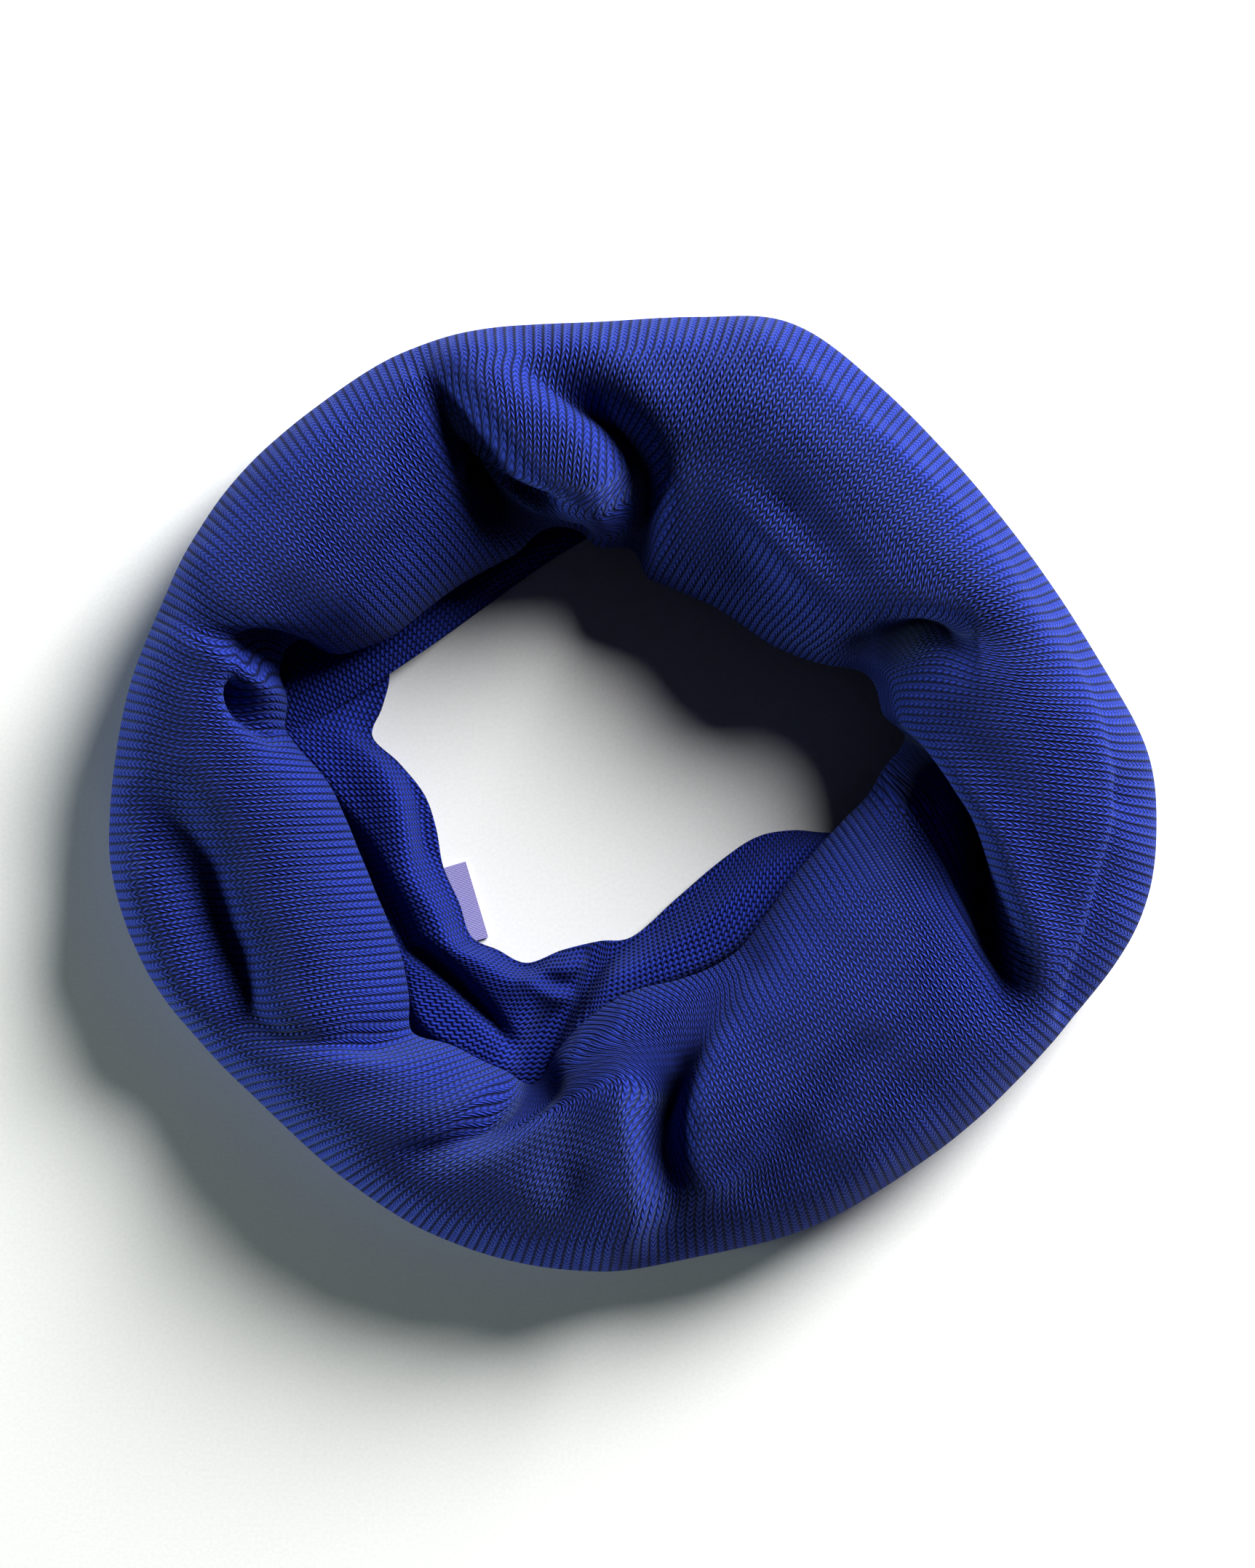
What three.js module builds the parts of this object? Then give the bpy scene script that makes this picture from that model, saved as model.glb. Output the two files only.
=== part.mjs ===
// An infinity scarf: one fine-knit woollen tube with no end, dropped on a table as a ring.
//
// The tube starts at its foot on the table, rises round the outside of the ring, rolls over the
// crest and turns under at the neck hole.  From the same foot a second stretch of the cloth runs
// inwards flat on the table, wrong side up, and shows as strips inside the hole.  What is gathered
// out of sight inside the roll is one rounded solid.  A small woven label is sewn at the hem.
//
// Millimetres, +Z up, the table is z = 0 and the origin is the middle of the ring's footprint.
import * as THREE from "three";

// Driving sizes
const CLOTH = 1.8; // thickness of the knitted wall
const SEAM_GAP = 0.45; // between two stretches of the same cloth
const ROLL_COLUMNS = 132; // grid of the rolled stretch, round the ring
const ROLL_ROWS = 21; // and across the cloth
const STRIP_ROWS = 9; // rows across an inner strip
const STRIP_STEP = 5.2; // length of a strip's column at the hem
const STRIP_CROWDING = 1.5; // above 1, its rows crowd towards the hem
const FOOT_END = 0.3; // where the rolled stretch stops under the ring, as a share of its width
const CORE_INSET = 3.4; // how far the gathered cloth lies inside the roll's face
const CORE_FLOOR = 0.6; // its clearance over the strips that it lies on
const CORE_ROWS = [4, 5, 6, 7, 8, 10, 12, 13, 14, 15, 20]; // the roll's rows that it follows
const CORE_RIM = 1; // the least height of its sides over its base
const CORE_HEEL = 0.25; // the base starts at this share of the ring's width
const CORE_TOE = 5; // and ends this far outside the tucked-in lip
const STACK_FROM = 10.8; // the section where the top strip starts its climb
const STACK_TO = 15.9; // and the one past its end
const STACK_RUN = 1.2; // the climb's length in sections
const STACK = CLOTH + 0.6; // how far the top strip climbs over the left one
const LABEL = { long: 16.4, wide: 11, thick: 0.5, x: -37.6, y: -23.4, lift: 0.2, turn: -73.3 };

// Sections round the ring, anticlockwise from the right: where the cloth's outer bulge and its
// inner rolled edge lie in plan, and how high the crest stands between them.
const SECTIONS = [
  { outX: 108, outY: -5, inX: 50.5, inY: 5.5, high: 38 },
  { outX: 106, outY: 9, inX: 51, inY: 14, high: 40 },
  { outX: 98, outY: 24.5, inX: 49, inY: 22, high: 40 },
  { outX: 85, outY: 45, inX: 41, inY: 26, high: 40 },
  { outX: 69, outY: 65.5, inX: 30, inY: 30, high: 39 },
  { outX: 50, outY: 85, inX: 18, inY: 37.5, high: 37 },
  { outX: 33, outY: 97, inX: 8, inY: 42.5, high: 36 },
  { outX: 14, outY: 98.4, inX: 2, inY: 44, high: 36 },
  { outX: -8, outY: 97.3, inX: -5, inY: 49, high: 37 },
  { outX: -30, outY: 96, inX: -14, inY: 52.5, high: 37 },
  { outX: -49, outY: 90.5, inX: -25, inY: 48.5, high: 37 },
  { outX: -67, outY: 78.5, inX: -38, inY: 41.5, high: 35 },
  { outX: -81.5, outY: 65.4, inX: -50, inY: 32.5, high: 33.5 },
  { outX: -91.5, outY: 51, inX: -63, inY: 27.5, high: 31 },
  { outX: -99, outY: 35.2, inX: -71.5, inY: 23, high: 29 },
  { outX: -104.5, outY: 20, inX: -71.5, inY: 13, high: 28 },
  { outX: -107.5, outY: 1.5, inX: -63, inY: 2.5, high: 27.5 },
  { outX: -107.5, outY: -16, inX: -55.5, inY: -14, high: 27.5 },
  { outX: -101, outY: -35, inX: -48, inY: -33, high: 28 },
  { outX: -89, outY: -51.5, inX: -44, inY: -46.5, high: 28.5 },
  { outX: -75, outY: -65.5, inX: -35, inY: -53, high: 29 },
  { outX: -60, outY: -79, inX: -26, inY: -57, high: 29.5 },
  { outX: -43, outY: -90, inX: -19, inY: -55.5, high: 30 },
  { outX: -24, outY: -96.6, inX: -11, inY: -47.5, high: 30.5 },
  { outX: -4, outY: -98.4, inX: -2, inY: -41.5, high: 31 },
  { outX: 16, outY: -95, inX: 8, inY: -38, high: 31.5 },
  { outX: 35, outY: -90, inX: 18, inY: -33.5, high: 32.5 },
  { outX: 52, outY: -81, inX: 25, inY: -28, high: 33.5 },
  { outX: 68, outY: -69.5, inX: 30.5, inY: -21, high: 34.5 },
  { outX: 83, outY: -55, inX: 36.5, inY: -13, high: 35 },
  { outX: 99, outY: -35.8, inX: 43, inY: -5.5, high: 35 },
  { outX: 106.3, outY: -21, inX: 48.5, inY: 0, high: 36 },
];

// The cloth's path through every section: across from the outer bulge (0) to the inner edge (1),
// and up from the table (0) to the crest (1).
const PROFILE = [
  { across: FOOT_END, up: 0 },
  { across: 0.16, up: 0 },
  { across: 0.05, up: 0.09 },
  { across: 0, up: 0.34 },
  { across: 0.035, up: 0.65 },
  { across: 0.13, up: 0.87 },
  { across: 0.28, up: 0.98 },
  { across: 0.46, up: 1 },
  { across: 0.64, up: 0.95 },
  { across: 0.8, up: 0.82 },
  { across: 0.93, up: 0.61 },
  { across: 1, up: 0.38 },
  { across: 0.97, up: 0.23 },
  { across: 0.88, up: 0.175 },
  { across: 0.75, up: 0.18 },
];
const OUTER_BULGE = 3 / (PROFILE.length - 1); // the row of PROFILE at the outer bulge
const INNER_EDGE = 11 / (PROFILE.length - 1); // and the one at the inner edge
const FADE_FROM = 0.6; // creases start to fade here on their way to the inner edge
const FADE_BY = 0.7; // and have lost this share of their depth when they reach it
const FOOT_EASE = 0.35; // this share of the outer wall, from its foot up, takes no crease
const PROBE = 0.004; // a short step along the roll, for its slope
const CREASE_CHORDS = 14; // straight chords in a crease's line
const HEM_REACH = 1.3; // a lifted hem is still rising this far in, in doubled ridge distances

// Creases in the roll, each a bent line in plan from a start through a middle to an end.  Left and
// right are its half widths to either hand, and the depths run along it; below zero it is a ridge.
const ROLL_CREASES = [
  { name: "pinch_west", x0: -43, y0: 90, x1: -35, y1: 69, x2: -14, y2: 51, left: 6, right: 8, d0: 2, d1: 12, d2: 10 },
  { name: "pinch_east", x0: -20, y0: 87, x1: -3, y1: 71, x2: 1, y2: 46, left: 8.5, right: 8, d0: 2, d1: 9, d2: 7 },
  { name: "pinch_swell", x0: -30, y0: 86, x1: -19, y1: 72, x2: -7, y2: 56, left: 9, right: 9, d0: -1.5, d1: -2, d2: -2 },
  { name: "north_dip", x0: 14, y0: 67, x1: 31, y1: 56, x2: 42, y2: 43, left: 7.5, right: 7.5, d0: 0.5, d1: 2, d2: 0.5 },
  { name: "neck_crease", x0: 42, y0: 20, x1: 54, y1: 31, x2: 69, y2: 34, left: 7, right: 7, d0: 6, d1: 7, d2: 2 },
  { name: "east_gap", x0: 49, y0: 9, x1: 67, y1: -12, x2: 81, y2: -40, left: 8, right: 10, d0: 8, d1: 11, d2: 5 },
  { name: "east_groove", x0: 103, y0: 11, x1: 101, y1: -12, x2: 91, y2: -42, left: 5.5, right: 5.5, d0: 0.5, d1: 1.5, d2: 1.5 },
  { name: "south_groove", x0: 8, y0: -94, x1: 24, y1: -78, x2: 46, y2: -56, left: 6, right: 7.5, d0: 0.5, d1: 2, d2: 0.5 },
  { name: "south_tuck", x0: 20, y0: -36, x1: 7, y1: -56, x2: 9, y2: -86, left: 6, right: 9, d0: 3.5, d1: 8.5, d2: 3 },
  { name: "lower_tuck", x0: -56, y0: -78, x1: -40, y1: -71, x2: -27, y2: -63, left: 6, right: 6, d0: 1.5, d1: 4, d2: 2 },
  { name: "west_trough", x0: -96, y0: 0, x1: -89, y1: -25, x2: -76, y2: -47, left: 9, right: 9, d0: 1, d1: 4, d2: 5 },
  { name: "west_tuck", x0: -84, y0: -44, x1: -66, y1: -49.5, x2: -42, y2: -47.5, left: 6, right: 6, d0: 1.5, d1: 3, d2: 3.5 },
  { name: "west_pocket", x0: -94, y0: 40, x1: -82, y1: 30.5, x2: -64, y2: 24, left: 5.5, right: 5.5, d0: 1.5, d1: 6.5, d2: 9 },
  { name: "west_curl", x0: -90, y0: 29, x1: -80, y1: 23, x2: -70, y2: 14, left: 6, right: 6, d0: -1.5, d1: -2, d2: -1.5 },
];

// The inner strips, row by row along the hem: the section of the ring beside it, the hem in plan,
// the height of the strip's swell, how far that lies from the hem, and the lift of the hem.
const LEFT_STRIP = [
  { section: 12.6, hemX: -52, hemY: 31, swell: 0, ridge: 6, lift: 0 },
  { section: 13.5, hemX: -50.5, hemY: 24.5, swell: 0, ridge: 6, lift: 0 },
  { section: 14.3, hemX: -52, hemY: 18, swell: 0, ridge: 6, lift: 0 },
  { section: 14.9, hemX: -54, hemY: 12, swell: 0.5, ridge: 6, lift: 0 },
  { section: 15.5, hemX: -48.5, hemY: 6.5, swell: 5, ridge: 8, lift: 0.2 },
  { section: 16.2, hemX: -43.3, hemY: 0, swell: 7, ridge: 8, lift: 0.5 },
  { section: 16.9, hemX: -40.8, hemY: -7, swell: 7, ridge: 7, lift: 1 },
  { section: 17.5, hemX: -39.3, hemY: -15, swell: 6, ridge: 6.5, lift: 1.3 },
  { section: 18.1, hemX: -36, hemY: -22.5, swell: 5, ridge: 6, lift: 1.3 },
  { section: 18.7, hemX: -33.5, hemY: -29.5, swell: 4, ridge: 6, lift: 1.2 },
  { section: 19.5, hemX: -28, hemY: -32.3, swell: 4, ridge: 7, lift: 0.5 },
  { section: 20.7, hemX: -22, hemY: -35, swell: 3, ridge: 8, lift: 0 },
  { section: 22, hemX: -14.5, hemY: -32.3, swell: 3, ridge: 7, lift: 0 },
  { section: 23.2, hemX: -7, hemY: -30.5, swell: 3, ridge: 6, lift: 0 },
  { section: 24.3, hemX: 0, hemY: -29.5, swell: 4, ridge: 6.5, lift: 0 },
  { section: 25.6, hemX: 9, hemY: -21.7, swell: 5, ridge: 7.5, lift: 0 },
  { section: 27, hemX: 18, hemY: -14, swell: 5, ridge: 7.5, lift: 0 },
  { section: 28.3, hemX: 25.5, hemY: -9, swell: 4, ridge: 7, lift: 0 },
  { section: 29.4, hemX: 33, hemY: -7.5, swell: 3, ridge: 6, lift: 0 },
  { section: 30.2, hemX: 42, hemY: -8, swell: 1, ridge: 5, lift: 0 },
  { section: 31.2, hemX: 58, hemY: -7, swell: 0, ridge: 5, lift: 0 },
];
const TOP_STRIP = [
  { section: 0.1, hemX: 66, hemY: 1, swell: 0, ridge: 5 },
  { section: 2, hemX: 61, hemY: 22.6, swell: 0, ridge: 5 },
  { section: 4, hemX: 37, hemY: 37.5, swell: 0, ridge: 5 },
  { section: 6, hemX: 12.5, hemY: 52, swell: 0, ridge: 5 },
  { section: 7.5, hemX: -1.5, hemY: 57, swell: 0, ridge: 5 },
  { section: 8.6, hemX: -9, hemY: 53.3, swell: 0, ridge: 4 },
  { section: 9.6, hemX: -18.5, hemY: 47.5, swell: 0.8, ridge: 3 },
  { section: 10.7, hemX: -29, hemY: 40, swell: 1, ridge: 3 },
  { section: 11.7, hemX: -40, hemY: 32, swell: 1, ridge: 3 },
  { section: 12.7, hemX: -50, hemY: 25.2, swell: 1, ridge: 3 },
  { section: 13.7, hemX: -59, hemY: 19.5, swell: 1, ridge: 3 },
  { section: 14.7, hemX: -67, hemY: 14.5, swell: 0.5, ridge: 3 },
  { section: 15.3, hemX: -72.5, hemY: 11.5, swell: 0, ridge: 3 },
];

// Ridges and valleys in the left strip, by the same rule as the roll's creases.
const STRIP_CREASES = [
  { name: "inner_fold", x0: -47, y0: -34, x1: -37, y1: -46, x2: -25, y2: -55, left: 4.5, right: 4.5, d0: -3, d1: -4, d2: -3 },
  { name: "inner_lap", x0: 2, y0: -33, x1: -8, y1: -41, x2: -20, y2: -57, left: 3.5, right: 3.5, d0: 1, d1: 3, d2: 3 },
];

const smooth = (t) => {
  const x = Math.min(1, Math.max(0, t));
  return x * x * (3 - 2 * x);
};

// A curve through the rows of a table, with three of its columns as x, y and z.
function curveThrough(rows, columns, closed = false) {
  const points = rows.map((row) => new THREE.Vector3(...columns.map((name) => row[name] ?? 0)));
  return new THREE.CatmullRomCurve3(points, closed, "catmullrom", 0.5);
}

const outline = curveThrough(SECTIONS, ["outX", "outY", "high"], true);
const innerEdge = curveThrough(SECTIONS, ["inX", "inY"], true);
const profile = curveThrough(PROFILE, ["across", "up"]);

// A crease as short chords, each with the depth at its ends, ready to be measured from.
function chordsOf(crease) {
  const start = new THREE.Vector2(crease.x0, crease.y0);
  const middle = new THREE.Vector2(crease.x1, crease.y1);
  const end = new THREE.Vector2(crease.x2, crease.y2);
  const control = middle.multiplyScalar(2).addScaledVector(start, -0.5).addScaledVector(end, -0.5);
  const points = new THREE.QuadraticBezierCurve(start, control, end).getPoints(CREASE_CHORDS);
  return { ...crease, points };
}

// How deep one crease presses the cloth at a place in plan, with its half widths let out.
function creaseDepth(crease, x, y, letOut) {
  let best = { gap: Infinity };
  for (let i = 0; i < CREASE_CHORDS; i++) {
    const a = crease.points[i];
    const b = crease.points[i + 1];
    const dx = b.x - a.x;
    const dy = b.y - a.y;
    const along = ((x - a.x) * dx + (y - a.y) * dy) / (dx * dx + dy * dy);
    const t = Math.min(1, Math.max(0, along));
    const gap = Math.hypot(x - a.x - dx * t, y - a.y - dy * t);
    const hand = dx * (y - a.y) - dy * (x - a.x);
    if (gap < best.gap) best = { gap, hand, at: (i + t) / CREASE_CHORDS };
  }
  const { d0, d1, d2 } = crease;
  const at = best.at;
  const depth = d0 * (1 - at) * (1 - 2 * at) + 4 * d1 * at * (1 - at) + d2 * at * (2 * at - 1);
  const half = letOut + (best.hand > 0 ? crease.left : crease.right);
  return depth * Math.exp(-((best.gap / half) ** 2));
}

const rollCreases = ROLL_CREASES.map((crease) => chordsOf(crease));
const stripCreases = STRIP_CREASES.map((crease) => chordsOf(crease));
const pressedBy = (creases, x, y, letOut = 0) =>
  creases.reduce((sum, crease) => sum + creaseDepth(crease, x, y, letOut), 0);

// The roll before it is creased: around runs round the ring and along runs across the cloth.
function plainRoll(around, along) {
  const turn = ((around % 1) + 1) % 1;
  const out = outline.getPoint(turn);
  const inner = innerEdge.getPoint(turn);
  const at = profile.getPoint(Math.min(1, Math.max(0, along)));
  const x = out.x + (inner.x - out.x) * at.x;
  const y = out.y + (inner.y - out.y) * at.x;
  return new THREE.Vector3(x, y, Math.max(0, at.y * out.z));
}

// The plain roll's outward normal.
function plainNormal(around, along) {
  const round = plainRoll(around + PROBE, along).sub(plainRoll(around - PROBE, along));
  const across = plainRoll(around, along + PROBE).sub(plainRoll(around, along - PROBE));
  return round.cross(across).normalize();
}

// The roll with its creases pressed in, square to the cloth.  They ease to nothing where the outer
// wall meets the table and fade towards the inner edge, and past it the tucked-in lip moves with
// that edge.  An inset gives the same form that much further in, with its creases let out to match.
function rollPoint(around, along, inset = 0) {
  const place = plainRoll(around, along);
  const edge = Math.min(along, INNER_EDGE);
  const anchor = plainRoll(around, edge);
  const fade = FADE_BY * smooth((edge - FADE_FROM) / (INNER_EDGE - FADE_FROM));
  const share = smooth(along / OUTER_BULGE - FOOT_EASE) * (1 - fade);
  const depth = pressedBy(rollCreases, anchor.x, anchor.y, inset) * share;
  place.addScaledVector(plainNormal(around, edge), -depth);
  place.addScaledVector(plainNormal(around, along), -inset);
  place.z = Math.max(0, place.z);
  return place;
}

const gridOf = (columns, rows, point) =>
  Array.from({ length: columns }, (_, i) => Array.from({ length: rows }, (_, j) => point(i, j)));

// Unit normals of a grid of points, taken from its neighbours.
function gridNormals(grid, wrap) {
  const columns = grid.length;
  const rows = grid[0].length;
  return gridOf(columns, rows, (i, j) => {
    const after = wrap ? (i + 1) % columns : Math.min(columns - 1, i + 1);
    const before = wrap ? (i + columns - 1) % columns : Math.max(0, i - 1);
    const round = grid[after][j].clone().sub(grid[before][j]);
    const across = grid[i][Math.min(rows - 1, j + 1)].clone().sub(grid[i][Math.max(0, j - 1)]);
    return round.cross(across).normalize();
  });
}

// The other face of a cloth wall, one thickness behind the first and never under the table.
function backOf(face, wrap) {
  const normals = gridNormals(face, wrap);
  return gridOf(face.length, face[0].length, (i, j) => {
    const place = face[i][j].clone().addScaledVector(normals[i][j], -CLOTH);
    place.z = Math.max(0, place.z);
    return place;
  });
}

// One closed mesh round a loop of points in each column.  A ring joins its last column to its
// first, and a strip is closed by a cap at both ends, which pairs the loop's two halves.
function loopGeometry(loops, ring) {
  const columns = loops.length;
  const size = loops[0].length;
  const index = [];
  const at = (i, j) => (i % columns) * size + (j % size);
  for (let i = 0; i < columns - (ring ? 0 : 1); i++)
    for (let j = 0; j < size; j++) {
      index.push(at(i, j), at(i + 1, j), at(i + 1, j + 1));
      index.push(at(i, j), at(i + 1, j + 1), at(i, j + 1));
    }
  if (!ring)
    for (let j = 0; j < size / 2 - 1; j++) {
      const k = size - 1 - j;
      index.push(at(0, j), at(0, j + 1), at(0, k - 1), at(0, j), at(0, k - 1), at(0, k));
      const last = (n) => (columns - 1) * size + n;
      index.push(last(j), last(k - 1), last(j + 1), last(j), last(k), last(k - 1));
    }
  const geometry = new THREE.BufferGeometry();
  geometry.setAttribute(
    "position",
    new THREE.Float32BufferAttribute(loops.flat().flatMap((p) => [p.x, p.y, p.z]), 3),
  );
  geometry.setIndex(index);
  geometry.computeVertexNormals();
  return geometry;
}

// The two faces of a wall as one loop in each column: out along the first, home along the second.
const wallLoops = (face, back) => face.map((column, i) => [...column, ...[...back[i]].reverse()]);

const rollFace = gridOf(ROLL_COLUMNS, ROLL_ROWS, (i, j) =>
  rollPoint(i / ROLL_COLUMNS, j / (ROLL_ROWS - 1)),
);
const rollBack = backOf(rollFace, true);

// How far the top strip climbs to lie over the left one, section by section.
function stackLift(section) {
  const past = smooth((section - STACK_TO) / STACK_RUN);
  return STACK * smooth((section - STACK_FROM) / STACK_RUN) * (1 - past);
}

// A strip's upper face, from its seam under the roll to the hem.
function stripFace(rows, creases, lift) {
  const hem = curveThrough(rows, ["hemX", "hemY", "section"]);
  const shape = curveThrough(rows, ["swell", "ridge", "lift"]);
  const columns = Math.round(hem.getLength() / STRIP_STEP);
  return gridOf(columns, STRIP_ROWS, (i, j) => {
    const t = i / (columns - 1);
    const edge = hem.getPoint(t);
    const form = shape.getPoint(t);
    const turn = (edge.z / SECTIONS.length) % 1;
    const out = outline.getPoint(turn);
    const inner = innerEdge.getPoint(turn);
    const wide = Math.hypot(inner.x - out.x, inner.y - out.y);
    const seam = FOOT_END + SEAM_GAP / wide;
    const startX = out.x + (inner.x - out.x) * seam;
    const startY = out.y + (inner.y - out.y) * seam;
    const share = 1 - (1 - j / (STRIP_ROWS - 1)) ** STRIP_CROWDING;
    const x = startX + (edge.x - startX) * share;
    const y = startY + (edge.y - startY) * share;
    const fromHem = Math.hypot(edge.x - x, edge.y - y);
    const swell = form.x * Math.sin(Math.PI * Math.min(1, fromHem / (2 * form.y))) ** 2;
    const pressed = pressedBy(creases, x, y);
    const hemRise = form.z * smooth(HEM_REACH - fromHem / (2 * form.y));
    const rise = Math.max(0, swell - pressed) + hemRise + lift(edge.z);
    return new THREE.Vector3(x, y, CLOTH + rise);
  });
}

// The cloth gathered inside the roll: each section of the roll's inside, one clearance further
// in, and closed by a flat base over the strips underneath.
function coreLoops() {
  return rollFace.map((column, i) => {
    const turn = i / ROLL_COLUMNS;
    const out = outline.getPoint(turn);
    const inner = innerEdge.getPoint(turn);
    const floor = CLOTH + CORE_FLOOR + stackLift(turn * SECTIONS.length);
    const arch = CORE_ROWS.map((row) => {
      const place = rollPoint(turn, row / (column.length - 1), CORE_INSET);
      place.z = Math.max(floor + CORE_RIM, place.z);
      return place;
    });
    const heel = out.clone().lerp(inner, CORE_HEEL).setZ(floor);
    const toe = arch.at(-1).clone().setZ(floor);
    toe.addScaledVector(heel.clone().sub(toe).normalize(), CORE_TOE);
    return [...arch, toe, heel];
  });
}

const wool = new THREE.MeshStandardMaterial({ color: 0x2f3fb0, roughness: 0.95, metalness: 0 });
const reverse = new THREE.MeshStandardMaterial({ color: 0x27359c, roughness: 0.97, metalness: 0 });
const hidden = new THREE.MeshStandardMaterial({ color: 0x202c85, roughness: 0.97, metalness: 0 });
const satin = new THREE.MeshStandardMaterial({ color: 0xa79be6, roughness: 0.6, metalness: 0 });

function mesh(name, geometry, material) {
  const made = new THREE.Mesh(geometry, material);
  made.name = name;
  return made;
}

function stripMesh(name, rows, creases, lift) {
  const face = stripFace(rows, creases, lift);
  return mesh(name, loopGeometry(wallLoops(face, backOf(face, false)), false), reverse);
}

function labelMesh() {
  const half = { long: LABEL.long / 2, wide: LABEL.wide / 2 };
  const shape = new THREE.Shape()
    .moveTo(-half.long, -half.wide)
    .lineTo(half.long, -half.wide)
    .lineTo(half.long, half.wide)
    .lineTo(-half.long, half.wide);
  const geometry = new THREE.ExtrudeGeometry(shape, { depth: LABEL.thick, bevelEnabled: false });
  const label = mesh("label", geometry, satin);
  label.position.set(LABEL.x, LABEL.y, LABEL.lift);
  label.rotation.z = THREE.MathUtils.degToRad(LABEL.turn);
  return label;
}

const scarf = new THREE.Group();
scarf.add(
  mesh("outer_roll", loopGeometry(wallLoops(rollFace, rollBack), true), wool),
  mesh("hidden_folds", loopGeometry(coreLoops(), true), hidden),
  stripMesh("left_strip", LEFT_STRIP, stripCreases, () => 0),
  stripMesh("top_strip", TOP_STRIP, [], stackLift),
  labelMesh(),
);

export default scarf;
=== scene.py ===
# %% [markdown]
# # A knitted infinity scarf, dropped as a ring
# The scarf is one tube of fine wool knit.  Dropped on a table it falls into a ring: the cloth rises
# from the table round the outside, rolls over a crest and turns under at the neck hole, and inside
# the hole the lower edge of the tube shows wrong side up.  Everything here is cloth, so each piece
# starts as a flat bmesh grid whose points are moved to where the drape puts them, and the stitches
# come from a pattern that follows the cloth's own wales and courses.

# %% Load the frame
import math

import bmesh
import bpy
import numpy as np
from mathutils import Matrix, Vector


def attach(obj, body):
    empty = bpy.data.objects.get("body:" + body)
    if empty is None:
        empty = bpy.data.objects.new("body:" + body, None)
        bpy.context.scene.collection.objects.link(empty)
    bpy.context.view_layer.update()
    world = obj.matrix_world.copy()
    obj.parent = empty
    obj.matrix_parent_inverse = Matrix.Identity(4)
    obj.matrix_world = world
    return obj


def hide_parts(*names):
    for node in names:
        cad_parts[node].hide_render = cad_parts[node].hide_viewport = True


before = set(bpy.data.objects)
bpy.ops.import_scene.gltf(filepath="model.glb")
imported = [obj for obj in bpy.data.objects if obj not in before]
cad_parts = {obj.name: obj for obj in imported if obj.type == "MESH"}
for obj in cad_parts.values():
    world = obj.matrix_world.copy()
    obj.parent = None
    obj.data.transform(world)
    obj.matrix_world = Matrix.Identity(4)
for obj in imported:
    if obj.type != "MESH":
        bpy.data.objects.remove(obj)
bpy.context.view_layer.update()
MM = 0.001
print("frame nodes:", ", ".join(sorted(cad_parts)))

# %% [markdown]
# ## Helpers for drapes
# A drape is a few short tables, with a row for each place round the ring, and smooth curves
# through their rows.  Catmull-Rom curves pass through every row, so a table can be read off a
# drawing of the scarf and corrected one row at a time.  Every piece becomes an object in one way.

# %% Tables and curves
def table(header, *rows):
    """Rows under named columns, as a dictionary of arrays."""
    columns = zip(*rows)
    return {name: np.array(column) for name, column in zip(header.split(), columns)}


def stack(rows, names):
    """The named columns of a table, side by side."""
    return np.stack([rows[name].astype(float) for name in names.split()], axis=1)


def curve_through(points, at, closed=False):
    """Points on the Catmull-Rom curve through points, at places counted in rows."""
    count = len(points)
    start = np.floor(at).astype(int)
    if closed:
        p0, p1, p2, p3 = (points[(start + step) % count] for step in (-1, 0, 1, 2))
    else:
        start = np.clip(start, 0, count - 2)
        before = 2 * points[:1] - points[1:2]
        after = 2 * points[-1:] - points[-2:-1]
        longer = np.concatenate([before, points, after])
        p0, p1, p2, p3 = (longer[start + step] for step in range(4))
    t = (at - start)[..., None]
    bend = (2 * p0 - 5 * p1 + 4 * p2 - p3) * t**2
    turn = (3 * p1 - p0 - 3 * p2 + p3) * t**3
    return (2 * p1 + (p2 - p0) * t + bend + turn) / 2


def smooth(t):
    """A share from 0 to 1 that starts and ends gently."""
    t = np.clip(t, 0, 1)
    return t * t * (3 - 2 * t)


def object_of(name, mesh, material):
    """A finished mesh as an object at the origin, in its material."""
    mesh.materials.append(material)
    made = bpy.data.objects.new(name, mesh)
    bpy.context.scene.collection.objects.link(made)
    print(name, "faces:", len(mesh.polygons))
    return made


print("gentle shares:", [round(float(smooth(t)), 3) for t in (0.1, 0.5, 0.9)])

# %% [markdown]
# ## The roll's sections
# Each row is a vertical cut through the ring, in millimetres: where the cloth's outer bulge and its
# rolled inner edge stand on the table, and how high the crest is.  The cuts go round from the right.
# A lathe or a torus would make an even ring, and a dropped scarf is uneven in all three measures.

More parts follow.
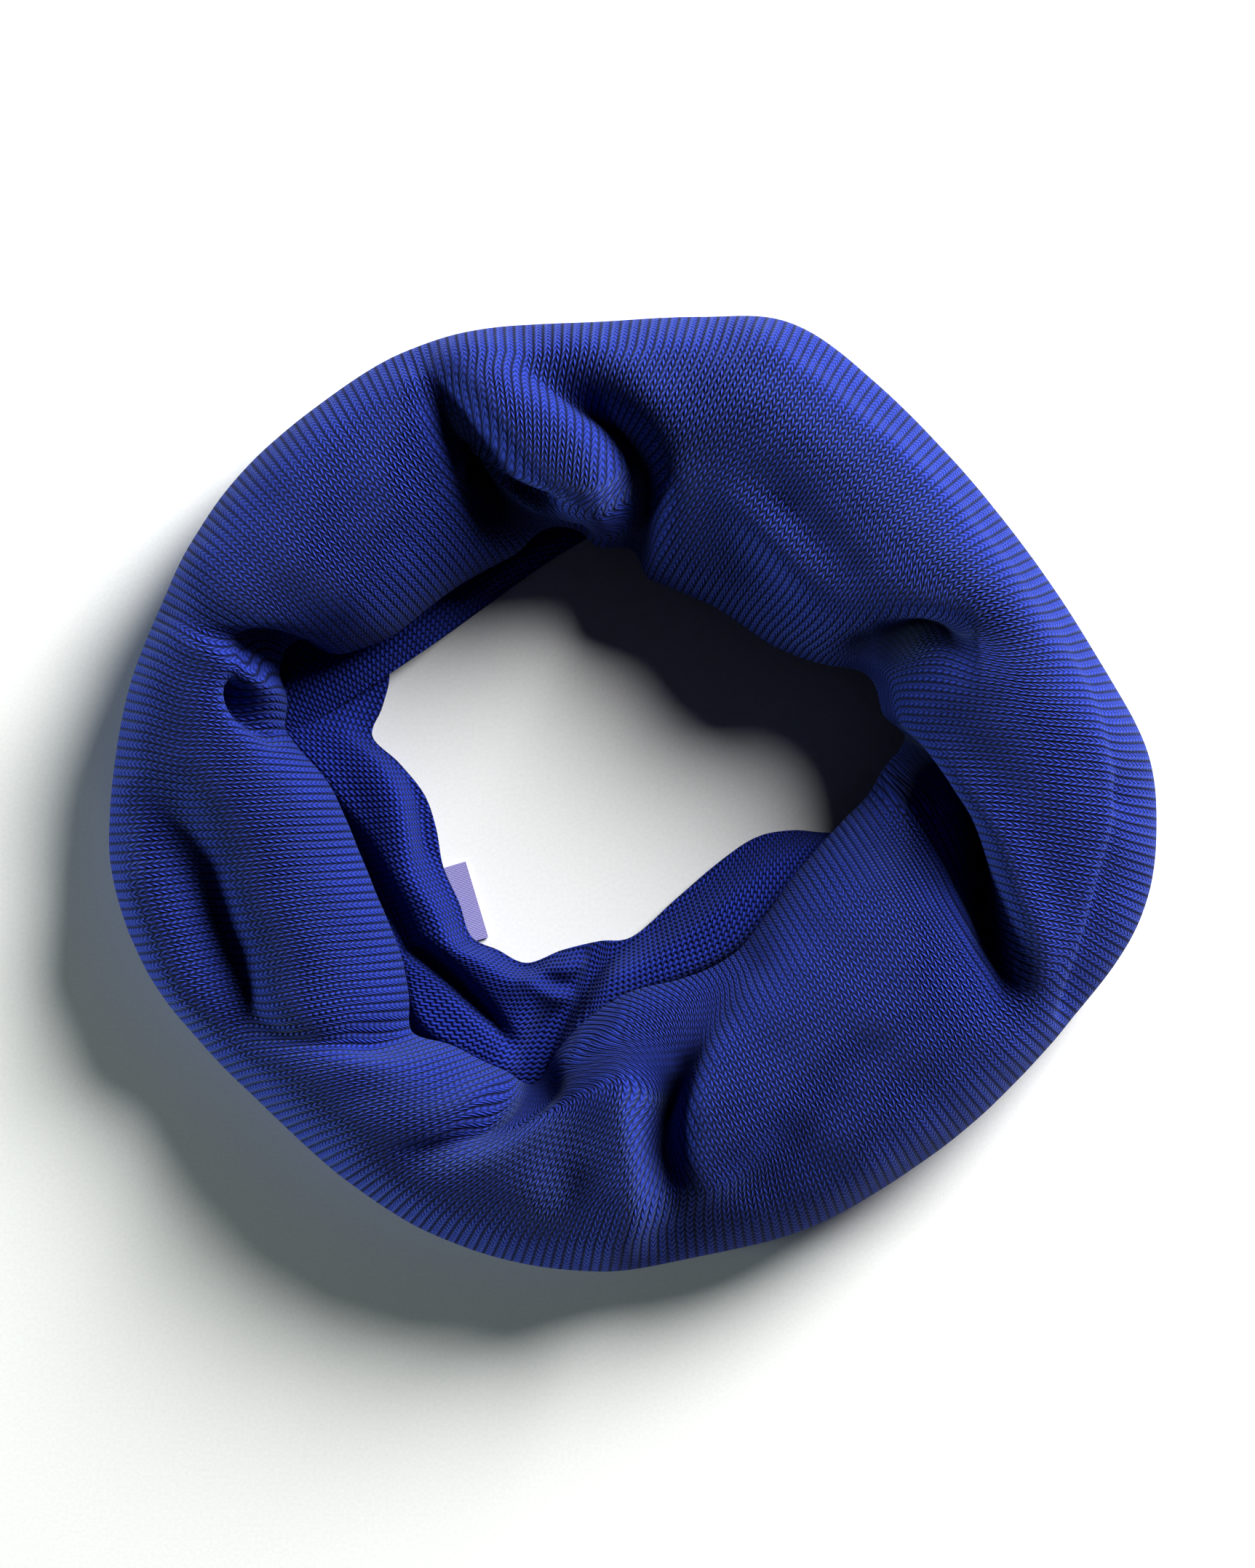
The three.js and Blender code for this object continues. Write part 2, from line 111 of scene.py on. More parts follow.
# %% Sections of the roll
SECTIONS = table(
    "out_x out_y in_x in_y high",
    (108, -5, 50.5, 5.5, 38),
    (106, 9, 51, 14, 40),
    (98, 24.5, 49, 22, 40),
    (85, 45, 41, 26, 40),
    (69, 65.5, 30, 30, 39),
    (50, 85, 18, 37.5, 37),
    (33, 97, 8, 42.5, 36),
    (14, 98.4, 2, 44, 36),
    (-8, 97.3, -5, 49, 37),
    (-30, 96, -14, 52.5, 37),
    (-49, 90.5, -25, 48.5, 37),
    (-67, 78.5, -38, 41.5, 35),
    (-81.5, 65.4, -50, 32.5, 33.5),
    (-91.5, 51, -63, 27.5, 31),
    (-99, 35.2, -71.5, 23, 29),
    (-104.5, 20, -71.5, 13, 28),
    (-107.5, 1.5, -63, 2.5, 27.5),
    (-107.5, -16, -55.5, -14, 27.5),
    (-101, -35, -48, -33, 28),
    (-89, -51.5, -44, -46.5, 28.5),
    (-75, -65.5, -35, -53, 29),
    (-60, -79, -26, -57, 29.5),
    (-43, -90, -19, -55.5, 30),
    (-24, -96.6, -11, -47.5, 30.5),
    (-4, -98.4, -2, -41.5, 31),
    (16, -95, 8, -38, 31.5),
    (35, -90, 18, -33.5, 32.5),
    (52, -81, 25, -28, 33.5),
    (68, -69.5, 30.5, -21, 34.5),
    (83, -55, 36.5, -13, 35),
    (99, -35.8, 43, -5.5, 35),
    (106.3, -21, 48.5, 0, 36),
)
SECTION_COUNT = len(SECTIONS["high"])
outline = stack(SECTIONS, "out_x out_y high")
inner_edge = stack(SECTIONS, "in_x in_y")
print("sections round the ring:", SECTION_COUNT)

# %% [markdown]
# ## The roll's profile
# The profile is the cloth's path through a section, as shares of the section's width and height: a
# foot on the table, the outer bulge, the crest, the inner edge and a lip that turns under.  One
# profile serves every section, because cloth this soft rolls over in much the same curve all round.

# %% Profile of the roll
PROFILE = table(
    "across up",
    (0.30, 0),
    (0.16, 0),
    (0.05, 0.09),
    (0, 0.34),
    (0.035, 0.58),
    (0.12, 0.80),
    (0.27, 0.945),
    (0.45, 1),
    (0.63, 0.955),
    (0.79, 0.82),
    (0.93, 0.61),
    (1, 0.38),
    (0.97, 0.23),
    (0.88, 0.175),
    (0.75, 0.18),
)
PROFILE_SPAN = len(PROFILE["up"]) - 1
INNER_EDGE = 11  # row of the profile
ROUND_STEP = 0.1  # sections to each side of a place, from which its normal is found
ALONG_STEP = 0.06  # rows of the profile to each side of it
profile = stack(PROFILE, "across up")


def plain_roll(section, along):
    """The roll before it is creased; along counts the profile's rows."""
    out = curve_through(outline, section, closed=True)
    inner = curve_through(inner_edge, section, closed=True)
    form = curve_through(profile, np.clip(along, 0, PROFILE_SPAN))
    plan = out[..., :2] + (inner - out[..., :2]) * form[..., :1]
    height = np.maximum(0, form[..., 1] * out[..., 2])
    return np.concatenate([plan, height[..., None]], axis=-1)


def plain_normal(section, along):
    """Which way the uncreased roll faces."""
    round_step = plain_roll(section + ROUND_STEP, along) - plain_roll(section - ROUND_STEP, along)
    across_step = plain_roll(section, along + ALONG_STEP) - plain_roll(section, along - ALONG_STEP)
    normal = np.cross(round_step, across_step)
    return normal / np.linalg.norm(normal, axis=-1, keepdims=True)


print("profile rows:", PROFILE_SPAN + 1, "with the inner edge at row", INNER_EDGE)

# %% [markdown]
# ## The roll's creases
# A soft tube can't bend round a ring without folding.  Each fold is one row, in millimetres: a bent
# line seen from above, its half width to the left and to the right of that line, and its depth at
# the start, the middle and the end.  A depth below zero raises a ridge.  A low power gives a sharp
# bed with round shoulders, and 2 gives a soft trough.  Blender's cloth simulation would fold at
# random, and these folds have to lie where they lie.

# %% Creases of the roll
ROLL_CREASES = table(
    "name x0 y0 x1 y1 x2 y2 left right d0 d1 d2 power",
    ("pinch_west", -43.5, 89, -35.3, 73, -28, 57, 4.6, 4, 3, 14, 12, 1.6),
    ("pinch_slope", -46, 88, -39.5, 72, -31, 56, 6, 10, 1, 5, 4, 2),
    ("pinch_mouth", -28, 57.5, -22, 54, -12, 53, 2.4, 3.4, 6, 9, 6, 2.2),
    ("pinch_east", -20, 87, -2, 72, -1, 49, 5, 4.4, 4, 15, 12, 1.8),
    ("pinch_swell", -33, 86, -23.5, 73, -11, 60, 9, 5.5, -1, -4, -4, 2),
    ("pinch_pocket", -26, 61, -20, 60.5, -15, 61.5, 1.9, 2.2, 3, 6, 1.5, 2),
    ("north_dip", 23, 67, 32, 57, 42, 47, 6, 5, 0.5, 3, 2, 2),
    ("north_ridge", 16, 64, 27, 54, 36, 45, 5, 5, -0.8, -2.2, -1.5, 2),
    ("north_slope", -2, 84, 14, 66, 22, 44, 9, 9, 0.5, 1.5, 2, 2),
    ("neck_crease", 70, 32, 60, 31, 48, 28.5, 7, 5, 3.5, 11, 7, 1.8),
    ("east_gap", 51, 12, 67.5, -12.5, 78.3, -40, 2.8, 3.4, 13, 18, 3, 1.6),
    ("panel_slope", 57, 0, 67, -17, 76.5, -38, 3, 10, 1, 6.5, 3.5, 2),
    ("east_lip", 58, 14, 75, -9, 84, -36, 4, 4, -0.5, -2.2, -1.5, 2),
    ("east_shoulder", 86, 41, 96, 20, 101, 0, 6, 2, 0.5, 1.2, 2, 1.8),
    ("east_step", 101.5, 2, 97, -18, 90, -44, 7, 1.6, 1.5, 4.5, 3.5, 1.8),
    ("northeast_step", 33, 93, 66, 64, 88, 32, 6, 2.5, 1, 1.4, 0.8, 1.8),
    ("south_groove", 8, -92, 26, -78, 46, -52, 5, 7, 1.5, 3.2, 1.5, 2),
    ("south_tuck", 21, -35, 7, -58, 9, -90, 5, 7.5, 3, 7, 2, 2),
    ("south_pocket", 7.5, -53, 5.5, -66, 8.5, -83, 3, 4.2, 4, 13, 1, 1.6),
    ("south_swell", -4, -95, 1, -78, -2, -60, 5, 6, -1, -3, -2, 2),
    ("south_trough", -12, -92, -14, -76, -12, -60, 7, 7, 1, 3, 1.5, 2),
    ("lower_tuck", -50, -73, -36.5, -70.5, -21.5, -57, 2.3, 5.5, 0.5, 5, 8.5, 1.8),
    ("lower_swell", -58, -66, -46, -67, -34, -62, 4, 4, -0.5, -1.2, -1, 2),
    ("west_trough", -101, 4, -91, -20, -82.5, -46, 10, 6, 2, 9.5, 8, 2),
    ("west_ridge", -104, -14, -98, -34, -84, -53, 5, 4, -0.5, -1, -1, 2),
    ("west_tuck", -77, -49, -62, -50.5, -42, -47, 3.4, 3.6, 0.5, 4.5, 7, 1.6),
    ("west_pocket", -94, 39, -82, 31, -66, 25, 3.8, 3.6, 1.5, 5.4, 17, 1.9),
    ("west_curl", -92, 32, -77.5, 25, -70.5, 14, 3.6, 3.6, -1, -2.8, -2.6, 2),
    ("curl_mouth", -81.5, 23.5, -79.3, 18.3, -73.5, 13, 2.1, 2.3, 2, 7.5, 5.5, 1.6),
    ("upper_slack", -50, 88, -57, 70, -60, 54, 7, 7, 0.5, 2.2, 1.5, 2),
)
print("creases:", len(ROLL_CREASES["name"]), "the deepest", ROLL_CREASES["d1"].max(), "mm")

# %% [markdown]
# ## How a crease presses the cloth
# A crease is a parabola through its three points, cut into short chords.  For each point of the
# cloth the nearest chord tells how far off the crease runs, on which side, and how far along.  The
# depth fades with that distance in a bell curve, so a fold has no edge where it meets smooth cloth.

# %% Depth of the creases
CREASE_CHORDS = 16
LEAST_GAP = 1e-6  # millimetres; stands in for a distance of nothing


def pressed(creases, x, y, let_out=0.0):
    """How deep the creases press the cloth at places seen from above."""
    total = np.zeros_like(x)
    for k in range(len(creases["name"])):
        row = {name: column[k] for name, column in creases.items()}
        start, middle, end = (np.array([row[f"x{n}"], row[f"y{n}"]]) for n in range(3))
        at = np.linspace(0, 1, CREASE_CHORDS + 1)[:, None]
        line = start * (1 - at) * (1 - 2 * at) + 4 * middle * at * (1 - at) + end * at * (2 * at - 1)
        gap = np.full_like(x, np.inf)
        side = np.zeros_like(x)
        place = np.zeros_like(x)
        for i in range(CREASE_CHORDS):
            dx, dy = line[i + 1] - line[i]
            rx, ry = x - line[i, 0], y - line[i, 1]
            t = np.clip((rx * dx + ry * dy) / (dx * dx + dy * dy), 0, 1)
            far = np.hypot(rx - dx * t, ry - dy * t)
            near = far < gap
            hand = (dx * ry - dy * rx) / (math.hypot(dx, dy) * np.maximum(far, LEAST_GAP))
            gap = np.where(near, far, gap)
            side = np.where(near, np.clip(hand, -1, 1), side)
            place = np.where(near, (i + t) / CREASE_CHORDS, place)
        depth = row["d0"] * (1 - place) * (1 - 2 * place)
        depth += 4 * row["d1"] * place * (1 - place) + row["d2"] * place * (2 * place - 1)
        half = let_out + row["left"] * (0.5 + side / 2) + row["right"] * (0.5 - side / 2)
        total += depth * np.exp(-((gap / half) ** row["power"]))
    return total


middles = pressed(ROLL_CREASES, ROLL_CREASES["x1"], ROLL_CREASES["y1"])
print("depth at the middle of each crease, mm:", middles.round(1).tolist())

# %% [markdown]
# ## Slack
# Cloth at rest is never quite even between its folds.  A few long waves that cross each other give
# it that look.  Each row has the direction of a wave and its phase in radians, and its length and
# height in millimetres.  Waves, not noise, keep the cloth smooth and the same at every run.

# %% Slack in the cloth
SLACK = table(
    "turn wave high phase",
    (0.3, 31, 0.3, 0.4),
    (1.4, 23, 0.22, 2.1),
    (2.5, 17, 0.17, 4.4),
    (0.9, 12, 0.1, 1.3),
    (2.0, 9, 0.08, 5.2),
)


def slackness(x, y):
    """Soft unevenness of resting cloth, from a few crossing waves."""
    total = np.zeros_like(x)
    for turn, wave, high, phase in stack(SLACK, "turn wave high phase"):
        run = x * math.cos(turn) + y * math.sin(turn)
        total += high * np.sin(2 * math.pi * run / wave + phase)
    return total


print("slack waves:", len(SLACK["wave"]), "up to", SLACK["high"].max(), "mm high")

# %% [markdown]
# ## The creased roll
# The folds are pressed into the roll square to its surface.  They begin just above the outer bulge,
# so that the outline and the foot on the table stay whole, and they grow weaker towards the inner
# edge, where the cloth is held round the neck hole.

# %% Creased roll
FADE_FROM = 8.4  # row of the profile where a crease starts to fade towards the inner edge
FADE_BY = 0.6  # share of the depth that is lost there
EASE_FROM = 2.7  # row where the creases begin, just above the outer bulge
EASE_ROWS = 2.0  # rows over which they come in
CREST = 7  # row of the profile that is highest


def fold_depth(section, along, inset=0.0):
    """How deep the roll is pressed in, fading towards the table and the inner edge."""
    edge = np.minimum(along, INNER_EDGE)
    anchor = plain_roll(section, edge)
    fade = FADE_BY * smooth((edge - FADE_FROM) / (INNER_EDGE - FADE_FROM))
    share = smooth((along - EASE_FROM) / EASE_ROWS) * (1 - fade)
    depth = pressed(ROLL_CREASES, anchor[..., 0], anchor[..., 1], inset)
    return (depth + slackness(anchor[..., 0], anchor[..., 1])) * share


def roll_point(section, along, inset=0.0):
    """The creased roll; an inset gives the same form that much further in."""
    place = plain_roll(section, along)
    edge = np.minimum(along, INNER_EDGE)
    depth = fold_depth(section, along, inset)
    place = place - plain_normal(section, edge) * depth[..., None]
    place = place - plain_normal(section, along) * inset
    place[..., 2] = np.maximum(0, place[..., 2])
    return place


crest_at_right = roll_point(np.zeros(1), np.full(1, float(CREST)))[0]
print("crest at the right, mm:", crest_at_right.round(1).tolist())

# %% [markdown]
# ## The back of a cloth wall
# A wall is a grid of points on the face, then a coarser grid of points one thickness behind it.  A
# Solidify modifier would do for an even shell, but the back here may skip rows that nobody sees, and
# it is held flat where the cloth rests on the table.

# %% Backs of walls
CLOTH = 1.8  # millimetres; thickness of the knit
LEAST_NORMAL = 1e-9  # stands in for a normal of no length


def grid_normals(points, ring):
    """Unit normals of a grid of points, columns first."""
    if ring:
        wrapped = np.concatenate([points[-1:], points, points[:1]])
        round_step = wrapped[2:] - wrapped[:-2]
    else:
        round_step = np.gradient(points, axis=0)
    across_step = np.gradient(points, axis=1)
    normal = np.cross(round_step, across_step)
    return normal / np.maximum(np.linalg.norm(normal, axis=-1, keepdims=True), LEAST_NORMAL)


def behind(face, ring, every):
    """The back of a wall, on every so many of its rows, from the last row to the first."""
    back = face - grid_normals(face, ring) * CLOTH
    back[..., 2] = np.maximum(0, back[..., 2])
    rows = list(range(face.shape[1] - 1, 0, -every)) + [0]
    return back[:, rows], rows


print("wall thickness:", CLOTH, "mm")

# %% [markdown]
# ## From grids to a mesh
# Laid side by side, the face and the back are one long grid.  So bmesh's own grid operator makes
# the faces, its points are moved, and merging the doubled points closes the wall.  The UV map counts
# stitches: u is the wale and v the course, so that the knit follows the cloth into its folds.  An
# attribute marks where the cloth turns down, because a knit's wales stand out as ribs there.

# %% Cloth walls
def round_the_wall(counts, back_rows):
    """Counts on the face, then on the back, then the first row again, where the grid closes."""
    return np.concatenate([counts, counts[:, back_rows], counts[:, :1]], axis=1)


RIB_FROM = 0.975  # upward part of the normal, below which the ribs begin to show
RIB_BY = 0.32  # how much further it falls until they show in full
MERGE = 1e-6  # metres; points as near as this are one


def ribbed(mesh):
    """Marks where the cloth turns down, which is where its wales stand out as ribs."""
    upward = np.empty(len(mesh.vertices) * 3, dtype=np.float32)
    mesh.vertex_normals.foreach_get("vector", upward)
    share = smooth((RIB_FROM - upward[2::3]) / RIB_BY).astype(np.float32)
    mesh.attributes.new("ribbed", "FLOAT", "POINT").data.foreach_set("value", share)


def mesh_from_grid(name, points, wales, courses, ring, material):
    """One closed object from a grid of places in millimetres, columns first."""
    columns, rows = points.shape[:2]
    x_cells = columns - (0 if ring else 1)
    cells = bmesh.new()
    bmesh.ops.create_grid(cells, x_segments=x_cells, y_segments=rows, size=1)
    cells.verts.ensure_lookup_table()
    place = np.array([vertex.co[:2] for vertex in cells.verts])
    i = np.rint((place[:, 0] + 1) / 2 * x_cells).astype(int)
    j = np.rint((place[:, 1] + 1) / 2 * rows).astype(int)
    moved = points[i % columns, j % rows] * MM
    for vertex, co in zip(cells.verts, moved):
        vertex.co = co
    mesh = bpy.data.meshes.new(name)
    cells.to_mesh(mesh)
    cells.free()
    corner = np.empty(len(mesh.loops), dtype=np.int32)
    mesh.loops.foreach_get("vertex_index", corner)
    uv = np.stack([wales[i, j], courses[i, j]], axis=1)[corner]
    mesh.uv_layers.new(name="stitches").data.foreach_set("uv", uv.astype(np.float32).ravel())
    joined = bmesh.new()
    joined.from_mesh(mesh)
    bmesh.ops.remove_doubles(joined, verts=joined.verts, dist=MERGE)
    if not ring:
        rims = [edge for edge in joined.edges if edge.is_boundary]
        bmesh.ops.holes_fill(joined, edges=rims, sides=0)
        caps = [face for face in joined.faces if len(face.verts) > 4]
        bmesh.ops.triangulate(joined, faces=caps)
    bmesh.ops.recalc_face_normals(joined, faces=joined.faces)
    for face in joined.faces:
        face.smooth = True
    joined.to_mesh(mesh)
    joined.free()
    ribbed(mesh)
    return object_of(name, mesh, material)


print("ribs begin to show at a slope of", round(math.degrees(math.acos(RIB_FROM))), "degrees")

# %% [markdown]
# ## Helpers for materials
# A material is a graph of nodes, and most of its nodes here do sums on numbers that change over the
# surface.  One helper adds such a node, and others start a material or a node group and add a bump
# or a colour ramp.  With them a pattern reads like a formula.

# %% Node helpers
def value_of(tree, operation, first, second=None, third=None):
    """A Math node whose inputs are sockets or plain numbers."""
    node = tree.nodes.new("ShaderNodeMath")
    node.operation = operation
    for k, given in enumerate((first, second, third)):
        if given is None:
            continue
        if isinstance(given, (int, float)):
            node.inputs[k].default_value = given
        else:
            tree.links.new(given, node.inputs[k])
    return node.outputs[0]


def new_material(name):
    """A material with its node tree and its shader."""
    material = bpy.data.materials.new(name)
    material.use_nodes = True
    return material, material.node_tree, material.node_tree.nodes["Principled BSDF"]


def bump_from(tree, height, relief, shader):
    """A bump as high as the relief in millimetres, on the shader's normal."""
    bump = tree.nodes.new("ShaderNodeBump")
    bump.inputs["Distance"].default_value = relief * MM
    tree.links.new(height, bump.inputs["Height"])
    tree.links.new(bump.outputs["Normal"], shader.inputs["Normal"])


def new_group(name, inputs, outputs):
    """An empty shader group with named sockets, and its input and output nodes."""
    tree = bpy.data.node_groups.new(name, "ShaderNodeTree")
    for label, kind in inputs:
        tree.interface.new_socket(name=label, in_out="INPUT", socket_type=kind)
    for label, kind in outputs:
        tree.interface.new_socket(name=label, in_out="OUTPUT", socket_type=kind)
    return tree, tree.nodes.new("NodeGroupInput"), tree.nodes.new("NodeGroupOutput")


def ramp(tree, factor, stops):
    """A colour ramp through (position, colour) stops."""
    node = tree.nodes.new("ShaderNodeValToRGB")
    elements = node.color_ramp.elements
    while len(elements) < len(stops):
        elements.new(0.5)
    for element, (position, colour) in zip(elements, stops):
        element.position = position
        element.color = (*colour, 1)
    tree.links.new(factor, node.inputs["Fac"])
    return node.outputs["Color"]


helpers = (value_of, new_material, bump_from, new_group, ramp)
print("node helpers:", ", ".join(helper.__name__ for helper in helpers))

# %% [markdown]
# ## The knit's right side
# Plain knitting shows columns of small Vs on its right side.  One column is a wale and one V is a
# stitch.  The pattern is worked out from the stitch UVs as a height, so it needs no picture of a
# knit and stays sharp close up.  Where the cloth turns down, each wale is a rib with a dark groove
# beside it, and the group blends from Vs to ribs there.

# %% Right side of the knit
LEG_ROUND = 0.9  # power; the lower, the broader the yarn's crown
MIDDLE_HIGH, MIDDLE_FALL = 0.55, 2.4  # height where the legs of a V meet, and its fall beside it
VEE_SLANT = 0.95  # courses that a leg climbs on its way out
LEG_LOW = 0.25  # height that is left between a V and the next
RIB_SIDES = 2.5  # power; the higher, the steeper a rib's sides
RIB_LOW, RIB_RISE = 0.16, 0.5
BEAD_LOW, BEAD_RISE = 0.75, 0.4  # how a rib swells with each stitch
RIB_SHARE = 0.8  # the Vs never go quite away


def right_side_group():
    """Columns of Vs: a slanting leg to each side of every wale, deep between the wales."""
    tree, given, put = new_group(
        "knit_right_side",
        [("Stitches", "NodeSocketVector"), ("Ribbed", "NodeSocketFloat")],
        [("Height", "NodeSocketFloat")],
    )
    parts = tree.nodes.new("ShaderNodeSeparateXYZ")
    tree.links.new(given.outputs["Stitches"], parts.inputs[0])
    wale = value_of(tree, "FRACT", parts.outputs["X"])
    off_centre = value_of(tree, "ABSOLUTE", value_of(tree, "SUBTRACT", wale, 0.5))
    across = value_of(tree, "MULTIPLY", off_centre, 2.0)
    leg = value_of(tree, "SINE", value_of(tree, "MULTIPLY", across, math.pi))
    leg = value_of(tree, "POWER", value_of(tree, "MAXIMUM", leg, 0.0), LEG_ROUND)
    middle = value_of(tree, "MULTIPLY_ADD", across, -MIDDLE_FALL, MIDDLE_HIGH)
    leg = value_of(tree, "MAXIMUM", leg, middle)
    slant = value_of(tree, "MULTIPLY_ADD", across, -VEE_SLANT, parts.outputs["Y"])
    in_stitch = value_of(tree, "FRACT", slant)
    stitch = value_of(tree, "SINE", value_of(tree, "MULTIPLY", in_stitch, math.pi))
    stitch = value_of(tree, "POWER", stitch, LEG_ROUND)
    round_leg = value_of(tree, "MULTIPLY_ADD", stitch, 1 - LEG_LOW, LEG_LOW)
    vees = value_of(tree, "MULTIPLY", leg, round_leg)
    rib = value_of(tree, "SUBTRACT", 1.0, value_of(tree, "POWER", across, RIB_SIDES))
    rib = value_of(tree, "MULTIPLY_ADD", rib, RIB_RISE, RIB_LOW)
    bead = value_of(tree, "MULTIPLY_ADD", stitch, BEAD_RISE, BEAD_LOW)
    rib = value_of(tree, "MULTIPLY", rib, bead)
    change = value_of(tree, "MULTIPLY", value_of(tree, "SUBTRACT", rib, vees), RIB_SHARE)
    height = value_of(tree, "MULTIPLY_ADD", change, given.outputs["Ribbed"], vees)
    tree.links.new(height, put.inputs["Height"])
    return tree


RIGHT_SIDE = right_side_group()
print("stitch group:", RIGHT_SIDE.name, "with", len(RIGHT_SIDE.nodes), "nodes")

# %% [markdown]
# ## The knit's wrong side
# The wrong side of plain knitting shows rows of small arches, which wave once in every wale, with a
# dark eye under each.  It is the side that shows on the strips inside the hole.  It has a group of
# its own, with the same inputs as the right side's, so that one material recipe serves both.

# %% Wrong side of the knit
ARCH_HIGH = 0.2  # courses
RIDGE_ROUND = 0.5  # power; the lower, the broader the yarn's crown
EYE_LOW, EYE_RISE = 0.6, 0.4  # height in an eye, and how much more its rim has
# Lowering the stitch height where the cloth turns down also moves the colour ramp towards its
# painted groove shade, so that cloth is darker as painted shade.
TURNED_LOSS = 0.15  # height lost where the cloth turns down


def wrong_side_group():
    """Rows of small arches: each course waves once in a wale, with dark eyes under the waves."""
    tree, given, put = new_group(
        "knit_wrong_side",
        [("Stitches", "NodeSocketVector"), ("Ribbed", "NodeSocketFloat")],
        [("Height", "NodeSocketFloat")],
    )
    parts = tree.nodes.new("ShaderNodeSeparateXYZ")
    tree.links.new(given.outputs["Stitches"], parts.inputs[0])
    round_wale = value_of(tree, "MULTIPLY", parts.outputs["X"], 2 * math.pi)
    wave = value_of(tree, "SINE", round_wale)
    course = value_of(tree, "MULTIPLY_ADD", wave, ARCH_HIGH, parts.outputs["Y"])
    in_course = value_of(tree, "FRACT", course)
    ridge = value_of(tree, "SINE", value_of(tree, "MULTIPLY", in_course, math.pi))
    ridge = value_of(tree, "POWER", ridge, RIDGE_ROUND)
    half_turn = value_of(tree, "MULTIPLY", round_wale, 0.5)
    bead = value_of(tree, "ABSOLUTE", value_of(tree, "SINE", half_turn))
    eye = value_of(tree, "MULTIPLY_ADD", bead, EYE_RISE, EYE_LOW)
    # flatter stitches and more painted shade where the cloth turns down
    flattened_and_shaded = value_of(tree, "MULTIPLY_ADD", given.outputs["Ribbed"], -TURNED_LOSS, 1.0)
    height = value_of(tree, "MULTIPLY", value_of(tree, "MULTIPLY", ridge, eye), flattened_and_shaded)
    tree.links.new(height, put.inputs["Height"])
    return tree


WRONG_SIDE = wrong_side_group()
print("stitch group:", WRONG_SIDE.name, "with", len(WRONG_SIDE.nodes), "nodes")

# %% [markdown]
# ## Wool fibre
# Every wool yarn has short, uneven hairs, and its shade drifts a little along the yarn.  A fine
# noise gives the hairs and a slow one the drift.  Both sides of the cloth use this group, and it
# reads Object coordinates, because hairs don't line up with stitches.

# %% Wool fibre
DRIFT_SCALE = 55.0  # the slow noise, in features to a metre
SHADE_LOW, SHADE_RISE = 0.82, 0.36  # darkest shade of the drift, and its range
SPECKLE = 0.6  # range of the shade of the fine hairs


def fibre_group():
    """Uneven short fibres in the yarn, as a small height and a slow change of shade."""
    tree, given, put = new_group(
        "wool_fibre",
        [("Place", "NodeSocketVector"), ("Fineness", "NodeSocketFloat")],
        [("Height", "NodeSocketFloat"), ("Shade", "NodeSocketFloat")],
    )
    fine = tree.nodes.new("ShaderNodeTexNoise")
    fine.inputs["Detail"].default_value = 2.0
    tree.links.new(given.outputs["Place"], fine.inputs["Vector"])
    tree.links.new(given.outputs["Fineness"], fine.inputs["Scale"])
    slow = tree.nodes.new("ShaderNodeTexNoise")
    slow.inputs["Scale"].default_value = DRIFT_SCALE
    slow.inputs["Detail"].default_value = 3.0
    tree.links.new(given.outputs["Place"], slow.inputs["Vector"])
    shade = value_of(tree, "MULTIPLY_ADD", slow.outputs["Fac"], SHADE_RISE, SHADE_LOW)
    speckle = value_of(tree, "MULTIPLY_ADD", fine.outputs["Fac"], SPECKLE, -SPECKLE / 2)
    tree.links.new(fine.outputs["Fac"], put.inputs["Height"])
    tree.links.new(value_of(tree, "ADD", shade, speckle), put.inputs["Shade"])
    return tree


FIBRE = fibre_group()
print("fibre group:", FIBRE.name, "with", len(FIBRE.nodes), "nodes")

# %% [markdown]
# ## The wool
# The yarn is a deep cobalt blue, dull, with a faint sheen from its hairs.  Its colour ramp holds
# painted shade: nearly black in the grooves, where light that falls between the stitches hardly
# comes back, up to the yarn's clear blue on the crown of each stitch.  A bump map alone wouldn't
# darken the grooves, so the stitch height drives both the painted shade of the ramp and the bump.

# %% Wool
WOOL_FINISH = {
    "Roughness": 0.75,
    "Specular IOR Level": 0.12,
    "Sheen Weight": 0.12,
    "Sheen Roughness": 0.45,
    "Sheen Tint": (0.45, 0.62, 1.0, 1),
}
FINENESS = 2600.0  # the noise of the hairs, in features to a metre
HAIR_HIGH = 0.22  # height of the hairs beside a stitch height of 1
YARN_AND_SHADE_STOPS = (0.0, 0.4, 0.95)  # stitch heights of the groove, the side and the crown
# the groove and side colours are painted shade between the stitches; the crown is the yarn's blue
FACE_COLOURS_WITH_GROOVE_SHADE = ((0.0004, 0.0008, 0.01), (0.0036, 0.0095, 0.085), (0.032, 0.064, 0.46))
REVERSE_COLOURS_WITH_GROOVE_SHADE = ((0.0004, 0.0008, 0.01), (0.0036, 0.0095, 0.09), (0.021, 0.044, 0.365))
FACE_RELIEF, REVERSE_RELIEF = 0.85, 0.6  # millimetres


